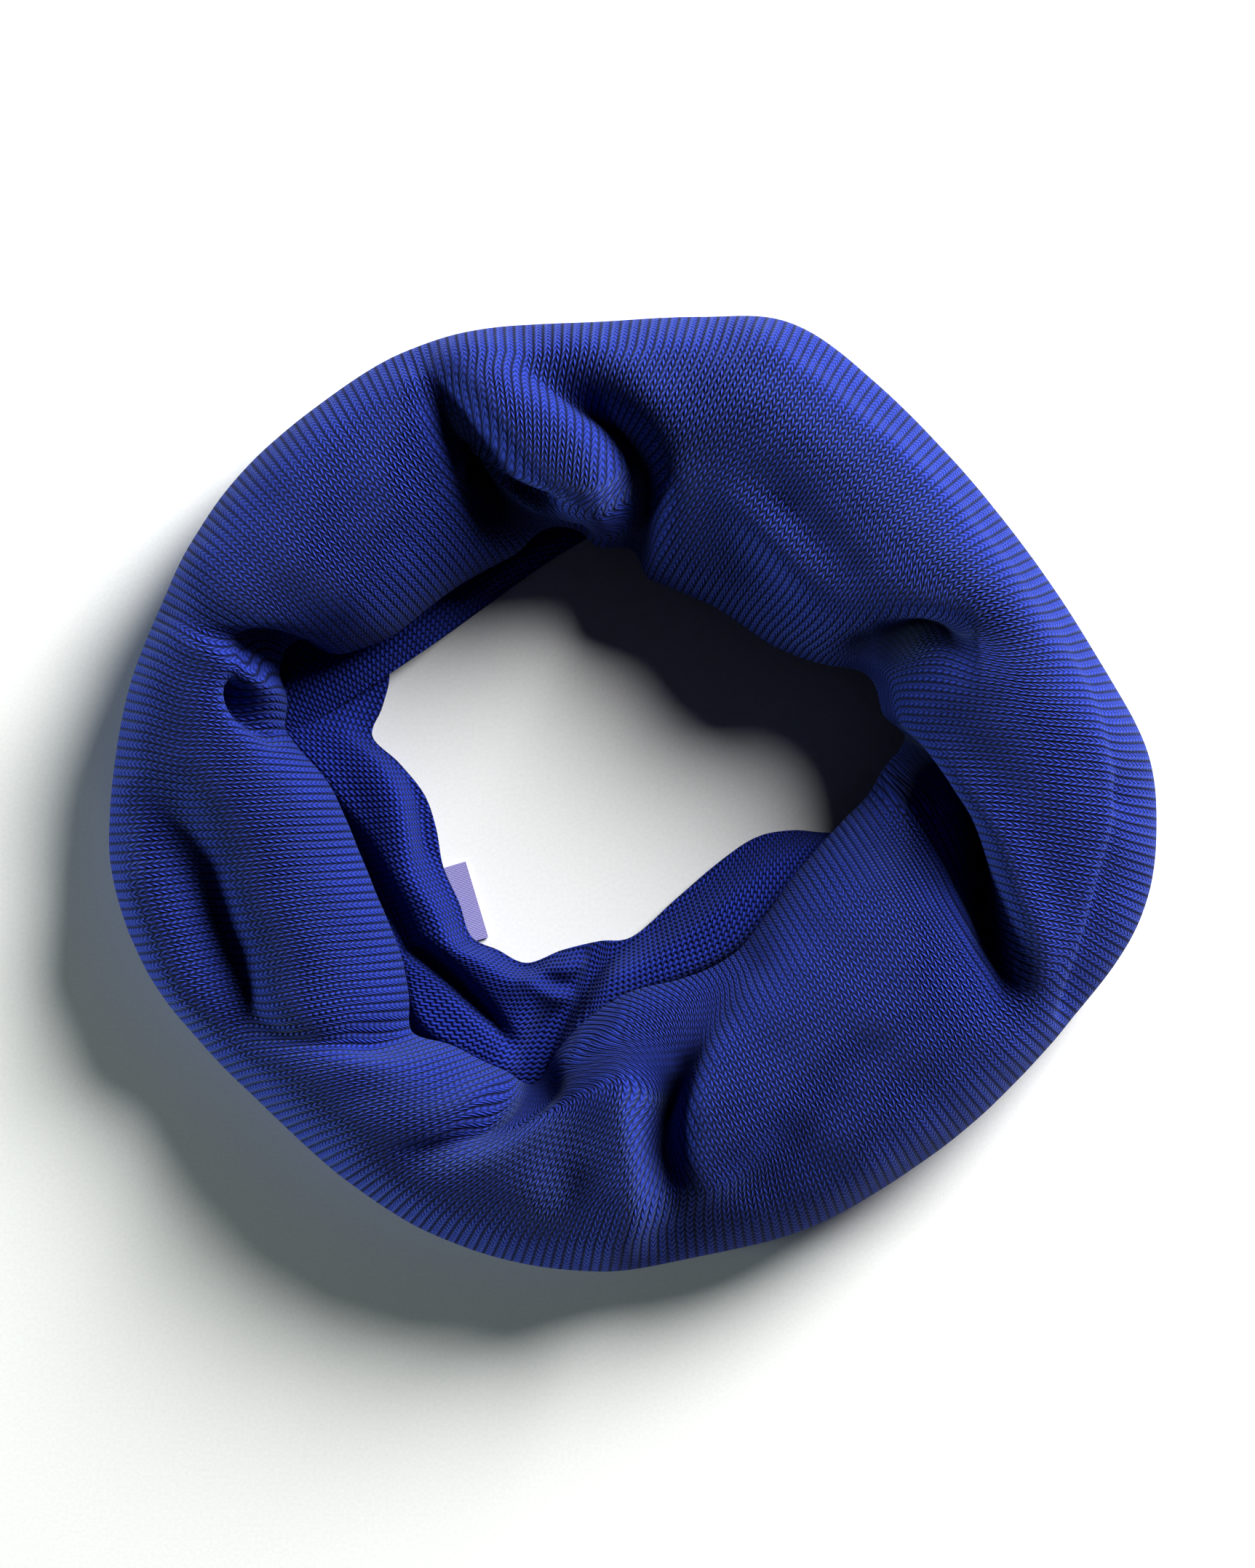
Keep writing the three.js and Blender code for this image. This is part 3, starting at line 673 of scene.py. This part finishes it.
def wool(name, pattern, colours, relief):
    """A wool knit: the yarn's colour with painted shade from groove to crown, over a stitch pattern.
    """
    material, tree, shader = new_material(name)
    for socket, setting in WOOL_FINISH.items():
        shader.inputs[socket].default_value = setting
    stitches = tree.nodes.new("ShaderNodeUVMap")
    stitches.uv_map = "stitches"
    knit = tree.nodes.new("ShaderNodeGroup")
    knit.node_tree = pattern
    tree.links.new(stitches.outputs["UV"], knit.inputs["Stitches"])
    turned_down = tree.nodes.new("ShaderNodeAttribute")
    turned_down.attribute_name = "ribbed"
    tree.links.new(turned_down.outputs["Fac"], knit.inputs["Ribbed"])
    place = tree.nodes.new("ShaderNodeTexCoord")
    fibre = tree.nodes.new("ShaderNodeGroup")
    fibre.node_tree = FIBRE
    fibre.inputs["Fineness"].default_value = FINENESS
    tree.links.new(place.outputs["Object"], fibre.inputs["Place"])
    # the ramp paints shade into the grooves and gives the yarn's own blue on the crowns
    yarn = ramp(tree, knit.outputs["Height"], list(zip(YARN_AND_SHADE_STOPS, colours)))
    shaded = tree.nodes.new("ShaderNodeVectorMath")
    shaded.operation = "SCALE"
    tree.links.new(yarn, shaded.inputs[0])
    tree.links.new(fibre.outputs["Shade"], shaded.inputs["Scale"])
    tree.links.new(shaded.outputs[0], shader.inputs["Base Color"])
    hairs = fibre.outputs["Height"]
    height = value_of(tree, "MULTIPLY_ADD", hairs, HAIR_HIGH, knit.outputs["Height"])
    bump_from(tree, height, relief, shader)
    return material


knit_face = wool("knit_face", RIGHT_SIDE, FACE_COLOURS_WITH_GROOVE_SHADE, FACE_RELIEF)
knit_reverse = wool("knit_reverse", WRONG_SIDE, REVERSE_COLOURS_WITH_GROOVE_SHADE, REVERSE_RELIEF)
print("wool materials:", knit_face.name, knit_reverse.name)

# %% [markdown]
# ## The face of the roll
# The rolled stretch is the scarf's right side.  It is one closed ring of cloth, so its grid has a
# column for each place round the ring and a row for each place from the table to the lip.  The grid
# is fine enough for the narrowest fold, and its back has a third of the rows.

# %% Face of the roll
ROLL_COLUMNS = 624
ROLL_ROWS = 112
ROLL_BACK_EVERY = 3  # rows of the face to a row of the back
section_of = np.arange(ROLL_COLUMNS) / ROLL_COLUMNS * SECTION_COUNT
along_of = np.linspace(0, PROFILE_SPAN, ROLL_ROWS)
roll_section, roll_along = np.meshgrid(section_of, along_of, indexing="ij")
roll_face = roll_point(roll_section, roll_along)
roll_back, back_rows = behind(roll_face, True, ROLL_BACK_EVERY)
print("roll face:", roll_face.shape[:2], "points, back rows:", len(back_rows))

# %% [markdown]
# ## Wales round the roll
# The wales run over the crest from the table to the neck hole, about two millimetres apart.  The
# way round the neck hole is shorter than the way round the outside, and no wale can end.  So the
# wales are evenly spaced on each smooth panel, and the spare ones crowd into the folds beside it.

# %% Wales of the roll
WALES = 318
BASE_ROW = 37  # the row of points that spaces the wales, on the outer bulge
PITCH_LOSS = 0.12  # the wales are a little closer together inwards of the crest
PITCH_FROM = 4  # row of the profile where they begin to close up
PITCH_ROWS = 4  # rows over which they do
CROWD_LEAST = 12.0  # how readily smooth cloth takes spare wales, beside a fold's depth cubed
CROWD_POWER = 3
ANCHORS = (1, 5.2, 12, 16.5, 19.7, 27.2)  # sections at the middle of each smooth panel


def wale_counts(plain, crowd):
    """Wales at each point of a ring of cloth: evenly spaced on each panel, the rest in its folds."""
    columns = len(plain)
    step = np.linalg.norm(np.diff(np.concatenate([plain, plain[:1]]), axis=0), axis=-1)
    base = np.concatenate([[0], np.cumsum(step[:, BASE_ROW])])
    pitch = base[-1] / WALES * (1 - PITCH_LOSS * smooth((along_of - PITCH_FROM) / PITCH_ROWS))
    base = base / base[-1] * WALES
    marks = [round(anchor / SECTION_COUNT * columns) for anchor in ANCHORS]
    counts = np.zeros((columns + 1, plain.shape[1]))
    for first, last in zip([marks[-1] - columns] + marks, marks + [marks[0] + columns]):
        index = np.arange(first, last)
        start = base[first % columns] + first // columns * WALES
        total = base[last % columns] + last // columns * WALES - start
        natural = step[index % columns] / pitch
        spare = total - natural.sum(axis=0)
        folded = crowd[index % columns] + CROWD_LEAST * natural
        added = natural + spare * folded / folded.sum(axis=0)
        evened = natural * total / natural.sum(axis=0)
        filled = np.where(spare > 0, added, evened)
        filled = start + np.concatenate([np.zeros((1, len(along_of))), np.cumsum(filled, axis=0)])
        index = np.arange(first, last + 1)
        inside = (index >= 0) & (index <= columns)
        counts[index[inside]] = filled[inside]
    return counts


plain_face = plain_roll(roll_section, roll_along)
crowd_place = plain_roll(roll_section, np.minimum(roll_along, INNER_EDGE))
crowd = np.maximum(0, pressed(ROLL_CREASES, crowd_place[..., 0], crowd_place[..., 1]))
face_wales = wale_counts(plain_face, crowd**CROWD_POWER)
outer_run = np.linalg.norm(np.diff(plain_face[:, BASE_ROW], axis=0), axis=-1).sum()
print("wales:", WALES, "about", round(outer_run / WALES, 2), "mm apart at the outer bulge")

# %% [markdown]
# ## Courses of the roll
# A course is one round of stitches, and it runs round the ring.  Courses are counted up the creased
# cloth, so that a stitch keeps its height in a fold.  The counts are then levelled along the ring,
# because a real course doesn't step up and down at each crease.

# %% Courses of the roll
COURSE = 1.5  # millimetres
EVEN_REACH = 14  # columns to each side over which a course is levelled


def course_counts(face, ring=True):
    """Courses at each point, counted up the cloth and evened out round the ring."""
    step = np.linalg.norm(np.diff(face, axis=1), axis=-1)
    run = np.concatenate([np.zeros((len(face), 1)), np.cumsum(step, axis=1)], axis=1)
    weights = np.exp(-((np.arange(-EVEN_REACH, EVEN_REACH + 1) / (EVEN_REACH / 2)) ** 2))
    weights /= weights.sum()
    mode = "wrap" if ring else "edge"
    padded = np.pad(run, ((EVEN_REACH, EVEN_REACH), (0, 0)), mode=mode)
    evened = sum(w * padded[k : k + len(run)] for k, w in enumerate(weights))
    return evened / COURSE


face_courses = course_counts(roll_face)
face_courses = np.concatenate([face_courses, face_courses[:1]])
print("courses from the table to the lip:", face_courses[:, -1].round().min(), "or more")

# %% [markdown]
# ## The roll as one mesh
# The face and the back are laid side by side, each with its wales and courses.  The last column and
# row of the counts repeat the first ones, because the grid meets itself there.

# %% Roll
roll_points = np.concatenate([roll_face, roll_back], axis=1)
roll_wales = round_the_wall(face_wales, back_rows)
roll_courses = round_the_wall(face_courses, back_rows)
roll_cloth = mesh_from_grid("roll_cloth", roll_points, roll_wales, roll_courses, True, knit_face)

# %% [markdown]
# ## The gathered cloth inside the roll
# The rest of the tube is bunched out of sight.  One rounded form fills that space, a little inside
# the roll, so that the gap under the rolled lip shows folded cloth and not a hollow.  It lies on the
# strips, and so it has to rise where one strip lies over the other.

# %% Rise over the stacked strips
STACK_FROM, STACK_TO = 10.8, 15.9  # sections between which the top strip lies over the left one
STACK_RUN = 1.2  # sections over which it climbs up or down
STACK = CLOTH + 0.6  # millimetres that it climbs


def stack_lift(section):
    """How far the top strip climbs to lie over the left one."""
    past = smooth((section - STACK_TO) / STACK_RUN)
    return STACK * smooth((section - STACK_FROM) / STACK_RUN) * (1 - past)


print("the top strip climbs", round(STACK, 2), "mm over the left one")

# %% [markdown]
# ## The gathered form
# The form is the roll itself, drawn a few millimetres in, with a flat underside from its heel near
# the outer bulge to its toe near the hole.  An inset of the same surface keeps clear of the roll in
# every crease, which a plain ring would cut through.

# %% Gathered cloth
CORE_INSET = 3.4  # millimetres inside the roll's face
CORE_FLOOR = 0.6  # millimetres above the strips
CORE_RIM = 1.0  # millimetres; least height of the sides
CORE_HEEL = 0.25  # share of the roll's width at which the underside begins
CORE_TOE = 5.0  # millimetres that the underside ends back from the lip
CORE_COLUMNS = 320
CORE_ALONG = (2.8, 3.5, 4.2, 4.9, 5.6, 7, 8.4, 9.1, 9.8, 10.5, 14)  # rows of the profile
CORE_COURSES = 90
core_section = np.arange(CORE_COLUMNS) / CORE_COLUMNS * SECTION_COUNT
core_grid = roll_point(*np.meshgrid(core_section, CORE_ALONG, indexing="ij"), CORE_INSET)
core_floor = CLOTH + CORE_FLOOR + stack_lift(core_section)
core_grid[..., 2] = np.maximum(core_floor[:, None] + CORE_RIM, core_grid[..., 2])
core_out = curve_through(outline, core_section, closed=True)[:, :2]
core_in = curve_through(inner_edge, core_section, closed=True)
heel = np.concatenate([core_out + (core_in - core_out) * CORE_HEEL, core_floor[:, None]], axis=1)
toe = np.concatenate([core_grid[:, -1, :2], core_floor[:, None]], axis=1)
back_way = heel - toe
toe = toe + back_way / np.linalg.norm(back_way, axis=1, keepdims=True) * CORE_TOE
core_points = np.concatenate([core_grid, toe[:, None], heel[:, None]], axis=1)
core_rows = core_points.shape[1]
core_wales = np.linspace(0, WALES, CORE_COLUMNS + 1)[:, None] * np.ones((1, core_rows + 1))
core_courses = np.ones((CORE_COLUMNS + 1, 1)) * np.linspace(0, CORE_COURSES, core_rows + 1)
gathered_cloth = mesh_from_grid(
    "gathered_cloth", core_points, core_wales, core_courses, True, knit_reverse
)

# %% [markdown]
# ## The strips inside the hole
# The tube's lower edge lies on the table, wrong side up.  A strip is drawn from its hem: each row
# says which section of the roll it runs under, where the hem is, how high the strip swells, how far
# in the swell's ridge lies, the share of it that is lost again beyond the ridge, and how far the hem
# itself is lifted.  Two strips are needed, because the edge doubles back at the upper left.

# %% Hems of the strips
LEFT_STRIP = table(
    "section hem_x hem_y swell ridge fall lift",
    (12.6, -52, 31, 0, 6, 0, 0),
    (13.5, -50.5, 24.5, 0, 6, 0, 0),
    (14.3, -52, 18, 0.5, 6, 0, 0),
    (14.9, -54, 12, 2.5, 6, 0.1, 0),
    (15.5, -48.5, 6.5, 4.2, 5, 0.2, 0.2),
    (16.2, -43.3, 0, 5.8, 6, 0.4, 0.5),
    (16.9, -40.8, -7, 6.4, 7, 0.45, 1),
    (17.5, -39.3, -15, 6.4, 7.5, 0.45, 1.3),
    (18.1, -36, -22.5, 6.4, 6, 0.35, 1.3),
    (18.7, -33.5, -29.5, 6.4, 5, 0.3, 1.2),
    (19.5, -28, -32.3, 6.2, 5, 0.3, 0.8),
    (20.7, -22, -35, 5.2, 5, 0.3, 0.5),
    (22, -14.5, -32.3, 4.5, 6, 0.1, 0.4),
    (23.2, -7, -30.5, 5, 8, 0, 0.3),
    (24.3, 0, -29.5, 6, 8, 0, 0),
    (25.6, 9, -21.7, 6.5, 9, 0, 0),
    (27, 18, -14, 6.5, 9, 0, 0),
    (28.3, 25.5, -9, 5.5, 8, 0, 0),
    (29.4, 33, -7.5, 3.5, 6, 0, 0),
    (30.2, 42, -8, 1, 5, 0, 0),
    (31.2, 58, -7, 0, 5, 0, 0),
)
TOP_STRIP = table(
    "section hem_x hem_y swell ridge fall lift",
    (0.1, 66, 1, 0, 5, 0, 0),
    (2, 61, 22.6, 0, 5, 0, 0),
    (4, 37, 37.5, 0, 5, 0, 0),
    (6, 12.5, 52, 0, 5, 0, 0),
    (7.5, -1.5, 57, 0, 5, 0, 0),
    (8.6, -9, 53.3, 0.5, 4, 0, 0),
    (9.6, -18.5, 47.5, 1.2, 4, 0.2, 0),
    (10.7, -29, 40, 1.6, 4, 0.3, 0),
    (11.7, -40, 32, 1.8, 4, 0.3, 0),
    (12.7, -50, 25.2, 1.8, 4, 0.3, 0),
    (13.7, -59, 19.5, 1.6, 4, 0.3, 0),
    (14.7, -67, 14.5, 1, 4, 0.2, 0),
    (15.3, -72.5, 11.5, 0.4, 3, 0, 0),
)
print("rows of the left strip:", len(LEFT_STRIP["lift"]), "of the top:", len(TOP_STRIP["lift"]))

# %% [markdown]
# ## Creases of the strips
# The left strip is folded too, in the same kind of rows as the roll.  The lower edge is slack, so
# its folds are narrow: two gaps along its side, a lap where it turns the lower corner, and a curl
# of the hem.  The top strip lies smooth.

# %% Creases of the strips
STRIP_CREASES = table(
    "name x0 y0 x1 y1 x2 y2 left right d0 d1 d2 power",
    ("side_gap", -62, -2, -54, -15, -46, -31, 1.5, 2.4, 1, 3.4, 3.4, 1.9),
    ("inner_gap", -43.5, -32.5, -34.5, -40.5, -24.5, -52, 1.3, 1.7, 6, 5, 1.2, 1.8),
    ("throat", -17, -44, -19, -50, -20.5, -57, 3, 3.4, 1, 3, 5, 2),
    ("inner_lap", -2, -30, -11.5, -43, -19.5, -56.5, 1.2, 3, 3, 7, 7, 1.6),
    ("lap_swell", 2, -31, -7, -43, -15, -55, 2.5, 2.5, -0.8, -2, -1, 2),
    ("hem_curl", -22, -36, -14, -39.5, -7.5, -36.5, 2.6, 1.5, 1, 3.2, 1.5, 2),
    ("curl_edge", -21, -38.5, -13.5, -42.5, -7, -38.5, 1.7, 1.7, -0.5, -1.5, -0.5, 2),
    ("hem_dent", -45.5, 1, -44, -8, -43, -14, 2, 1.5, 1, 2.4, 1, 2),
)
NO_CREASES = {name: column[:0] for name, column in STRIP_CREASES.items()}
print("creases in the left strip:", len(STRIP_CREASES["name"]))

# %% [markdown]
# ## The face of a strip
# A strip starts at a seam beside the roll's foot and ends at the hem.  It has to pass under the
# rolled lip, so its swell begins only past the roll's inner edge.  Its rows are closer together
# towards the hem, which is the stretch that shows.

# %% Face of a strip
FOOT_END = 0.3  # share of the roll's width where its foot ends
SEAM_GAP = 0.45  # millimetres between the foot and the strip
HEM_REACH = 1.3  # above 1, the lift of the hem holds for a short way in
FALL_RUN = 10  # millimetres past the ridge over which a strip sinks again
LIP_REACH = 3.5  # millimetres over which a strip dips to pass under the roll
STRIP_COLUMNS = 420
STRIP_ROWS = 44
ROW_CROWDING = 1.5  # power; at 1 the rows would be evenly spaced
EDGE_STEP = 0.1  # sections between the points of the inner edge that are measured from


def past_edge(plan):
    """How far places are past the roll's inner edge, towards the hole."""
    section = np.arange(0, SECTION_COUNT, EDGE_STEP)
    edge = curve_through(inner_edge, section, closed=True)
    inward = edge - curve_through(outline, section, closed=True)[:, :2]
    gap = plan[:, :, None] - edge
    nearest = np.argmin(np.linalg.norm(gap, axis=-1), axis=-1)
    gap = np.take_along_axis(gap, nearest[:, :, None, None], axis=2)[:, :, 0]
    side = np.sign(np.sum(gap * inward[nearest], axis=-1))
    return side * np.linalg.norm(gap, axis=-1)


def strip_face(rows, creases, lift):
    """A strip's upper face, from its seam under the roll to the hem."""
    at = np.linspace(0, len(rows["section"]) - 1, STRIP_COLUMNS)
    hem = curve_through(stack(rows, "hem_x hem_y section"), at)
    form = curve_through(stack(rows, "swell ridge fall lift"), at)
    out = curve_through(outline, hem[:, 2], closed=True)[:, :2]
    inner = curve_through(inner_edge, hem[:, 2], closed=True)
    wide = np.linalg.norm(inner - out, axis=1, keepdims=True)
    start = out + (inner - out) * (FOOT_END + SEAM_GAP / wide)
    share = (1 - (1 - np.linspace(0, 1, STRIP_ROWS)) ** ROW_CROWDING)[None, :, None]
    plan = start[:, None] + (hem[:, None, :2] - start[:, None]) * share
    from_hem = np.linalg.norm(hem[:, None, :2] - plan, axis=-1)
    swell, ridge, fall, hem_lift = (form[:, k : k + 1] for k in range(4))
    under_lip = smooth((past_edge(plan) + LIP_REACH) / LIP_REACH)
    rise = swell * smooth(from_hem / ridge) * under_lip
    rise = rise * (1 - fall * smooth((from_hem - ridge) / FALL_RUN))
    rise = np.maximum(0, rise - pressed(creases, plan[..., 0], plan[..., 1]))
    rise = rise + hem_lift * smooth(HEM_REACH - from_hem / (2 * ridge)) + lift(hem[:, 2])[:, None]
    return np.concatenate([plan, (CLOTH + rise)[..., None]], axis=-1)


middle_of_hole = past_edge(np.zeros((1, 1, 2)))[0, 0]
print("the origin lies", round(float(middle_of_hole), 1), "mm past the roll's inner edge")

# %% [markdown]
# ## The strips as cloth
# A strip's back is its face, one thickness lower, so it rests flat wherever the strip doesn't swell.
# Its edge is knitted a little tighter than the roll, and it shows the wrong side of the knit.

# %% Strips
STRIP_WALE = 1.45  # millimetres
STRIP_COURSE = 1.2  # millimetres


def no_lift(section):
    """The left strip lies on the table all along."""
    return np.zeros_like(section)


def strip_cloth(name, rows, creases, lift):
    """A strip with its back and its stitch counts, as one mesh."""
    face = strip_face(rows, creases, lift)
    back_rows = list(range(STRIP_ROWS))[::-1]
    back = face[:, back_rows] - np.array([0, 0, CLOTH])
    points = np.concatenate([face, back], axis=1)
    middle = face[:, STRIP_ROWS // 2]
    run = np.concatenate([[0], np.cumsum(np.linalg.norm(np.diff(middle, axis=0), axis=1))])
    wales = (run / STRIP_WALE)[:, None] * np.ones((1, STRIP_ROWS))
    courses = course_counts(face, ring=False) * COURSE / STRIP_COURSE
    wales, courses = (round_the_wall(counts, back_rows) for counts in (wales, courses))
    return mesh_from_grid(name, points, wales, courses, False, knit_reverse)


left_cloth = strip_cloth("left_cloth", LEFT_STRIP, STRIP_CREASES, no_lift)
top_cloth = strip_cloth("top_cloth", TOP_STRIP, NO_CREASES, stack_lift)

# %% [markdown]
# ## The tape of the label
# The label is a narrow woven tape in pale violet, smoother than the wool.  Its weave is a fine rib,
# made by a wave texture that a Mapping node turns to lie along the tape.

# %% Tape material
LABEL_TURN = -73.3  # degrees
TAPE_COLOURS = ((0.27, 0.25, 0.56), (0.4, 0.38, 0.68))
TAPE_RIBS = 900  # scale of the wave
TAPE_RELIEF = 0.08  # millimetres


def tape_material():
    """Ribbed tape, with its ribs square to the label's length."""
    material, tree, shader = new_material("label_tape")
    shader.inputs["Roughness"].default_value = 0.55
    shader.inputs["Sheen Weight"].default_value = 0.3
    place = tree.nodes.new("ShaderNodeTexCoord")
    turn = tree.nodes.new("ShaderNodeMapping")
    turn.inputs["Rotation"].default_value = (0, 0, math.radians(-LABEL_TURN))
    tree.links.new(place.outputs["Object"], turn.inputs["Vector"])
    rib = tree.nodes.new("ShaderNodeTexWave")
    rib.bands_direction = "X"
    rib.inputs["Scale"].default_value = TAPE_RIBS
    tree.links.new(turn.outputs[0], rib.inputs["Vector"])
    shade = ramp(tree, rib.outputs["Fac"], list(enumerate(TAPE_COLOURS)))
    tree.links.new(shade, shader.inputs["Base Color"])
    bump_from(tree, rib.outputs["Fac"], TAPE_RELIEF, shader)
    return material


label_tape = tape_material()
print("tape material:", label_tape.name)

# %% [markdown]
# ## The label
# The tape is folded double and caught under the hem of the left strip, and it lies on the table.
# It is a thin cube, divided along and across, then turned and moved to its place in the mesh.  Its
# face is left blank.

# %% Label
LABEL_LONG, LABEL_WIDE, LABEL_THICK = 16.4, 11.0, 0.5  # millimetres
LABEL_X, LABEL_Y, LABEL_LIFT = -37.6, -23.4, 0.2
CUTS_ALONG, CUTS_ACROSS = 12, 8
THICK_MOST = 5  # millimetres; an edge longer than this isn't one through the thickness
tape = bmesh.new()
bmesh.ops.create_cube(tape, size=1)
bmesh.ops.scale(tape, vec=(LABEL_LONG * MM, LABEL_WIDE * MM, LABEL_THICK * MM), verts=tape.verts)
for axis, cuts in ((0, CUTS_ALONG), (1, CUTS_ACROSS)):
    spans = [(edge, abs(edge.verts[0].co[axis] - edge.verts[1].co[axis])) for edge in tape.edges]
    edges = [edge for edge, span in spans if span > THICK_MOST * MM]
    bmesh.ops.subdivide_edges(tape, edges=edges, cuts=cuts, use_grid_fill=True)
middle = Vector((LABEL_X, LABEL_Y, LABEL_LIFT + LABEL_THICK / 2)) * MM
turned = Matrix.Rotation(math.radians(LABEL_TURN), 3, "Z")
bmesh.ops.rotate(tape, verts=tape.verts, matrix=turned)
bmesh.ops.translate(tape, vec=middle, verts=tape.verts)
tape_mesh = bpy.data.meshes.new("label_tab")
tape.to_mesh(tape_mesh)
tape.free()
label_tab = object_of("label_tab", tape_mesh, label_tape)

# %% [markdown]
# ## The table
# The scarf lies on a plain white surface.  A large bmesh grid is enough for it, with a very fine
# noise in its colour, so that it looks like card and not like a screen.

# %% Table
FLOOR_HALF = 1.5  # metres
FLOOR_CELLS = 4
PAPER_SCALE = 1400
PAPER_STOPS = ((0.3, (0.80, 0.81, 0.81)), (0.7, (0.84, 0.85, 0.85)))
floor_material, paper, paper_shader = new_material("pale_surface")
paper_shader.inputs["Roughness"].default_value = 0.9
paper_place = paper.nodes.new("ShaderNodeTexCoord")
paper_grain = paper.nodes.new("ShaderNodeTexNoise")
paper_grain.inputs["Scale"].default_value = PAPER_SCALE
paper.links.new(paper_place.outputs["Object"], paper_grain.inputs["Vector"])
paper_colour = ramp(paper, paper_grain.outputs["Fac"], PAPER_STOPS)
paper.links.new(paper_colour, paper_shader.inputs["Base Color"])

sheet_cells = bmesh.new()
bmesh.ops.create_grid(
    sheet_cells, x_segments=FLOOR_CELLS, y_segments=FLOOR_CELLS, size=FLOOR_HALF
)
floor_mesh = bpy.data.meshes.new("floor")
sheet_cells.to_mesh(floor_mesh)
sheet_cells.free()
object_of("floor", floor_mesh, floor_material)
print("table:", 2 * FLOOR_HALF, "m square")

# %% [markdown]
# ## The lights
# One soft light from the upper right, low over the table, makes the long shadow to the lower left
# and the darkness inside the hole.  Two weak lamps stand nearly at table height and stop the shaded
# sides from going black.  Area lights are used, because the edge of a shadow is as soft as its lamp
# is large.

# %% Lights
LIGHTS = table(
    "azimuth elevation far size power red green blue",
    (47, 27.3, 1.5, 0.95, 77, 1.0, 0.99, 0.97),
    (192, 5, 1.0, 0.2, 12, 0.86, 1.0, 0.93),
    (280, 5, 1.0, 0.2, 2.5, 0.9, 1.0, 0.95),
)
LIGHT_NAMES = ("key_light", "left_fill", "right_fill")
ROOM_COLOUR = (1.0, 1.0, 0.72, 1)
ROOM_STRENGTH = 0.014
CONTRAST = 0.87  # gamma of the view; the photo holds more contrast than the Standard view


def area_light(name, place, size, power, colour):
    """A round lamp that faces the scarf."""
    lamp = bpy.data.lights.new(name, "AREA")
    lamp.shape = "DISK"
    lamp.size = size
    lamp.energy = power
    lamp.color = colour
    made = bpy.data.objects.new(name, lamp)
    made.location = place
    made.rotation_euler = (-Vector(place)).to_track_quat("-Z", "Y").to_euler()
    bpy.context.scene.collection.objects.link(made)


def towards(azimuth, elevation, far):
    """A place at a distance from the scarf, by compass angle and height in degrees."""
    turn, lift = math.radians(azimuth), math.radians(elevation)
    flat = far * math.cos(lift)
    return (flat * math.cos(turn), flat * math.sin(turn), far * math.sin(lift))


for k, name in enumerate(LIGHT_NAMES):
    azimuth, elevation, far, size, power, *colour = (float(column[k]) for column in LIGHTS.values())
    area_light(name, towards(azimuth, elevation, far), size, power, colour)
world = bpy.data.worlds.new("soft_room")
world.use_nodes = True
world.node_tree.nodes["Background"].inputs["Color"].default_value = ROOM_COLOUR
world.node_tree.nodes["Background"].inputs["Strength"].default_value = ROOM_STRENGTH
bpy.context.scene.world = world
bpy.context.scene.view_settings.view_transform = "Standard"
bpy.context.scene.view_settings.gamma = CONTRAST
print("lights:", ", ".join(LIGHT_NAMES))

# %% [markdown]
# ## The camera
# The scarf is seen from straight above.  The lens is worked out from the size of a pixel on the
# scarf and the height of the camera, so that the picture has the scarf at the scale of its own
# measures.  The camera stands well back, which keeps the tall crest from looking larger than it is.

# %% Camera
PIXEL = 0.15  # millimetres on the scarf to a pixel of the photograph
PIXELS_HIGH = 2156
CAMERA_HIGH = 1.8  # metres
SCALE_HIGH = 0.012  # metres above the table, the height at which the scale holds
MIDDLE_X, MIDDLE_Y = -1.1, 2.1  # millimetres
SENSOR = 36
camera_data = bpy.data.cameras.new("camera")
camera_data.sensor_width = SENSOR
camera_data.lens = SENSOR * (CAMERA_HIGH - SCALE_HIGH) / (PIXELS_HIGH * PIXEL * MM)
camera = bpy.data.objects.new("camera", camera_data)
camera.location = (MIDDLE_X * MM, MIDDLE_Y * MM, CAMERA_HIGH)
bpy.context.scene.collection.objects.link(camera)
bpy.context.scene.camera = camera
print("lens:", round(camera_data.lens, 1), "mm")

# %% [markdown]
# ## What each piece stands for
# Every piece rides on the one rigid body and replaces its plain solid.

# %% Ties to the frame
TIES = (
    (roll_cloth, ("outer_roll",), "knit_face"),
    (gathered_cloth, ("hidden_folds",), "knit_inside"),
    (left_cloth, ("left_strip",), "knit_reverse"),
    (top_cloth, ("top_strip",), "knit_reverse"),
    (label_tab, ("label",), "label_tape"),
)
for piece, nodes, finish in TIES:
    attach(piece, "root")
    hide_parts(*nodes)
print("pieces:", ", ".join(piece.name for piece, nodes, finish in TIES))
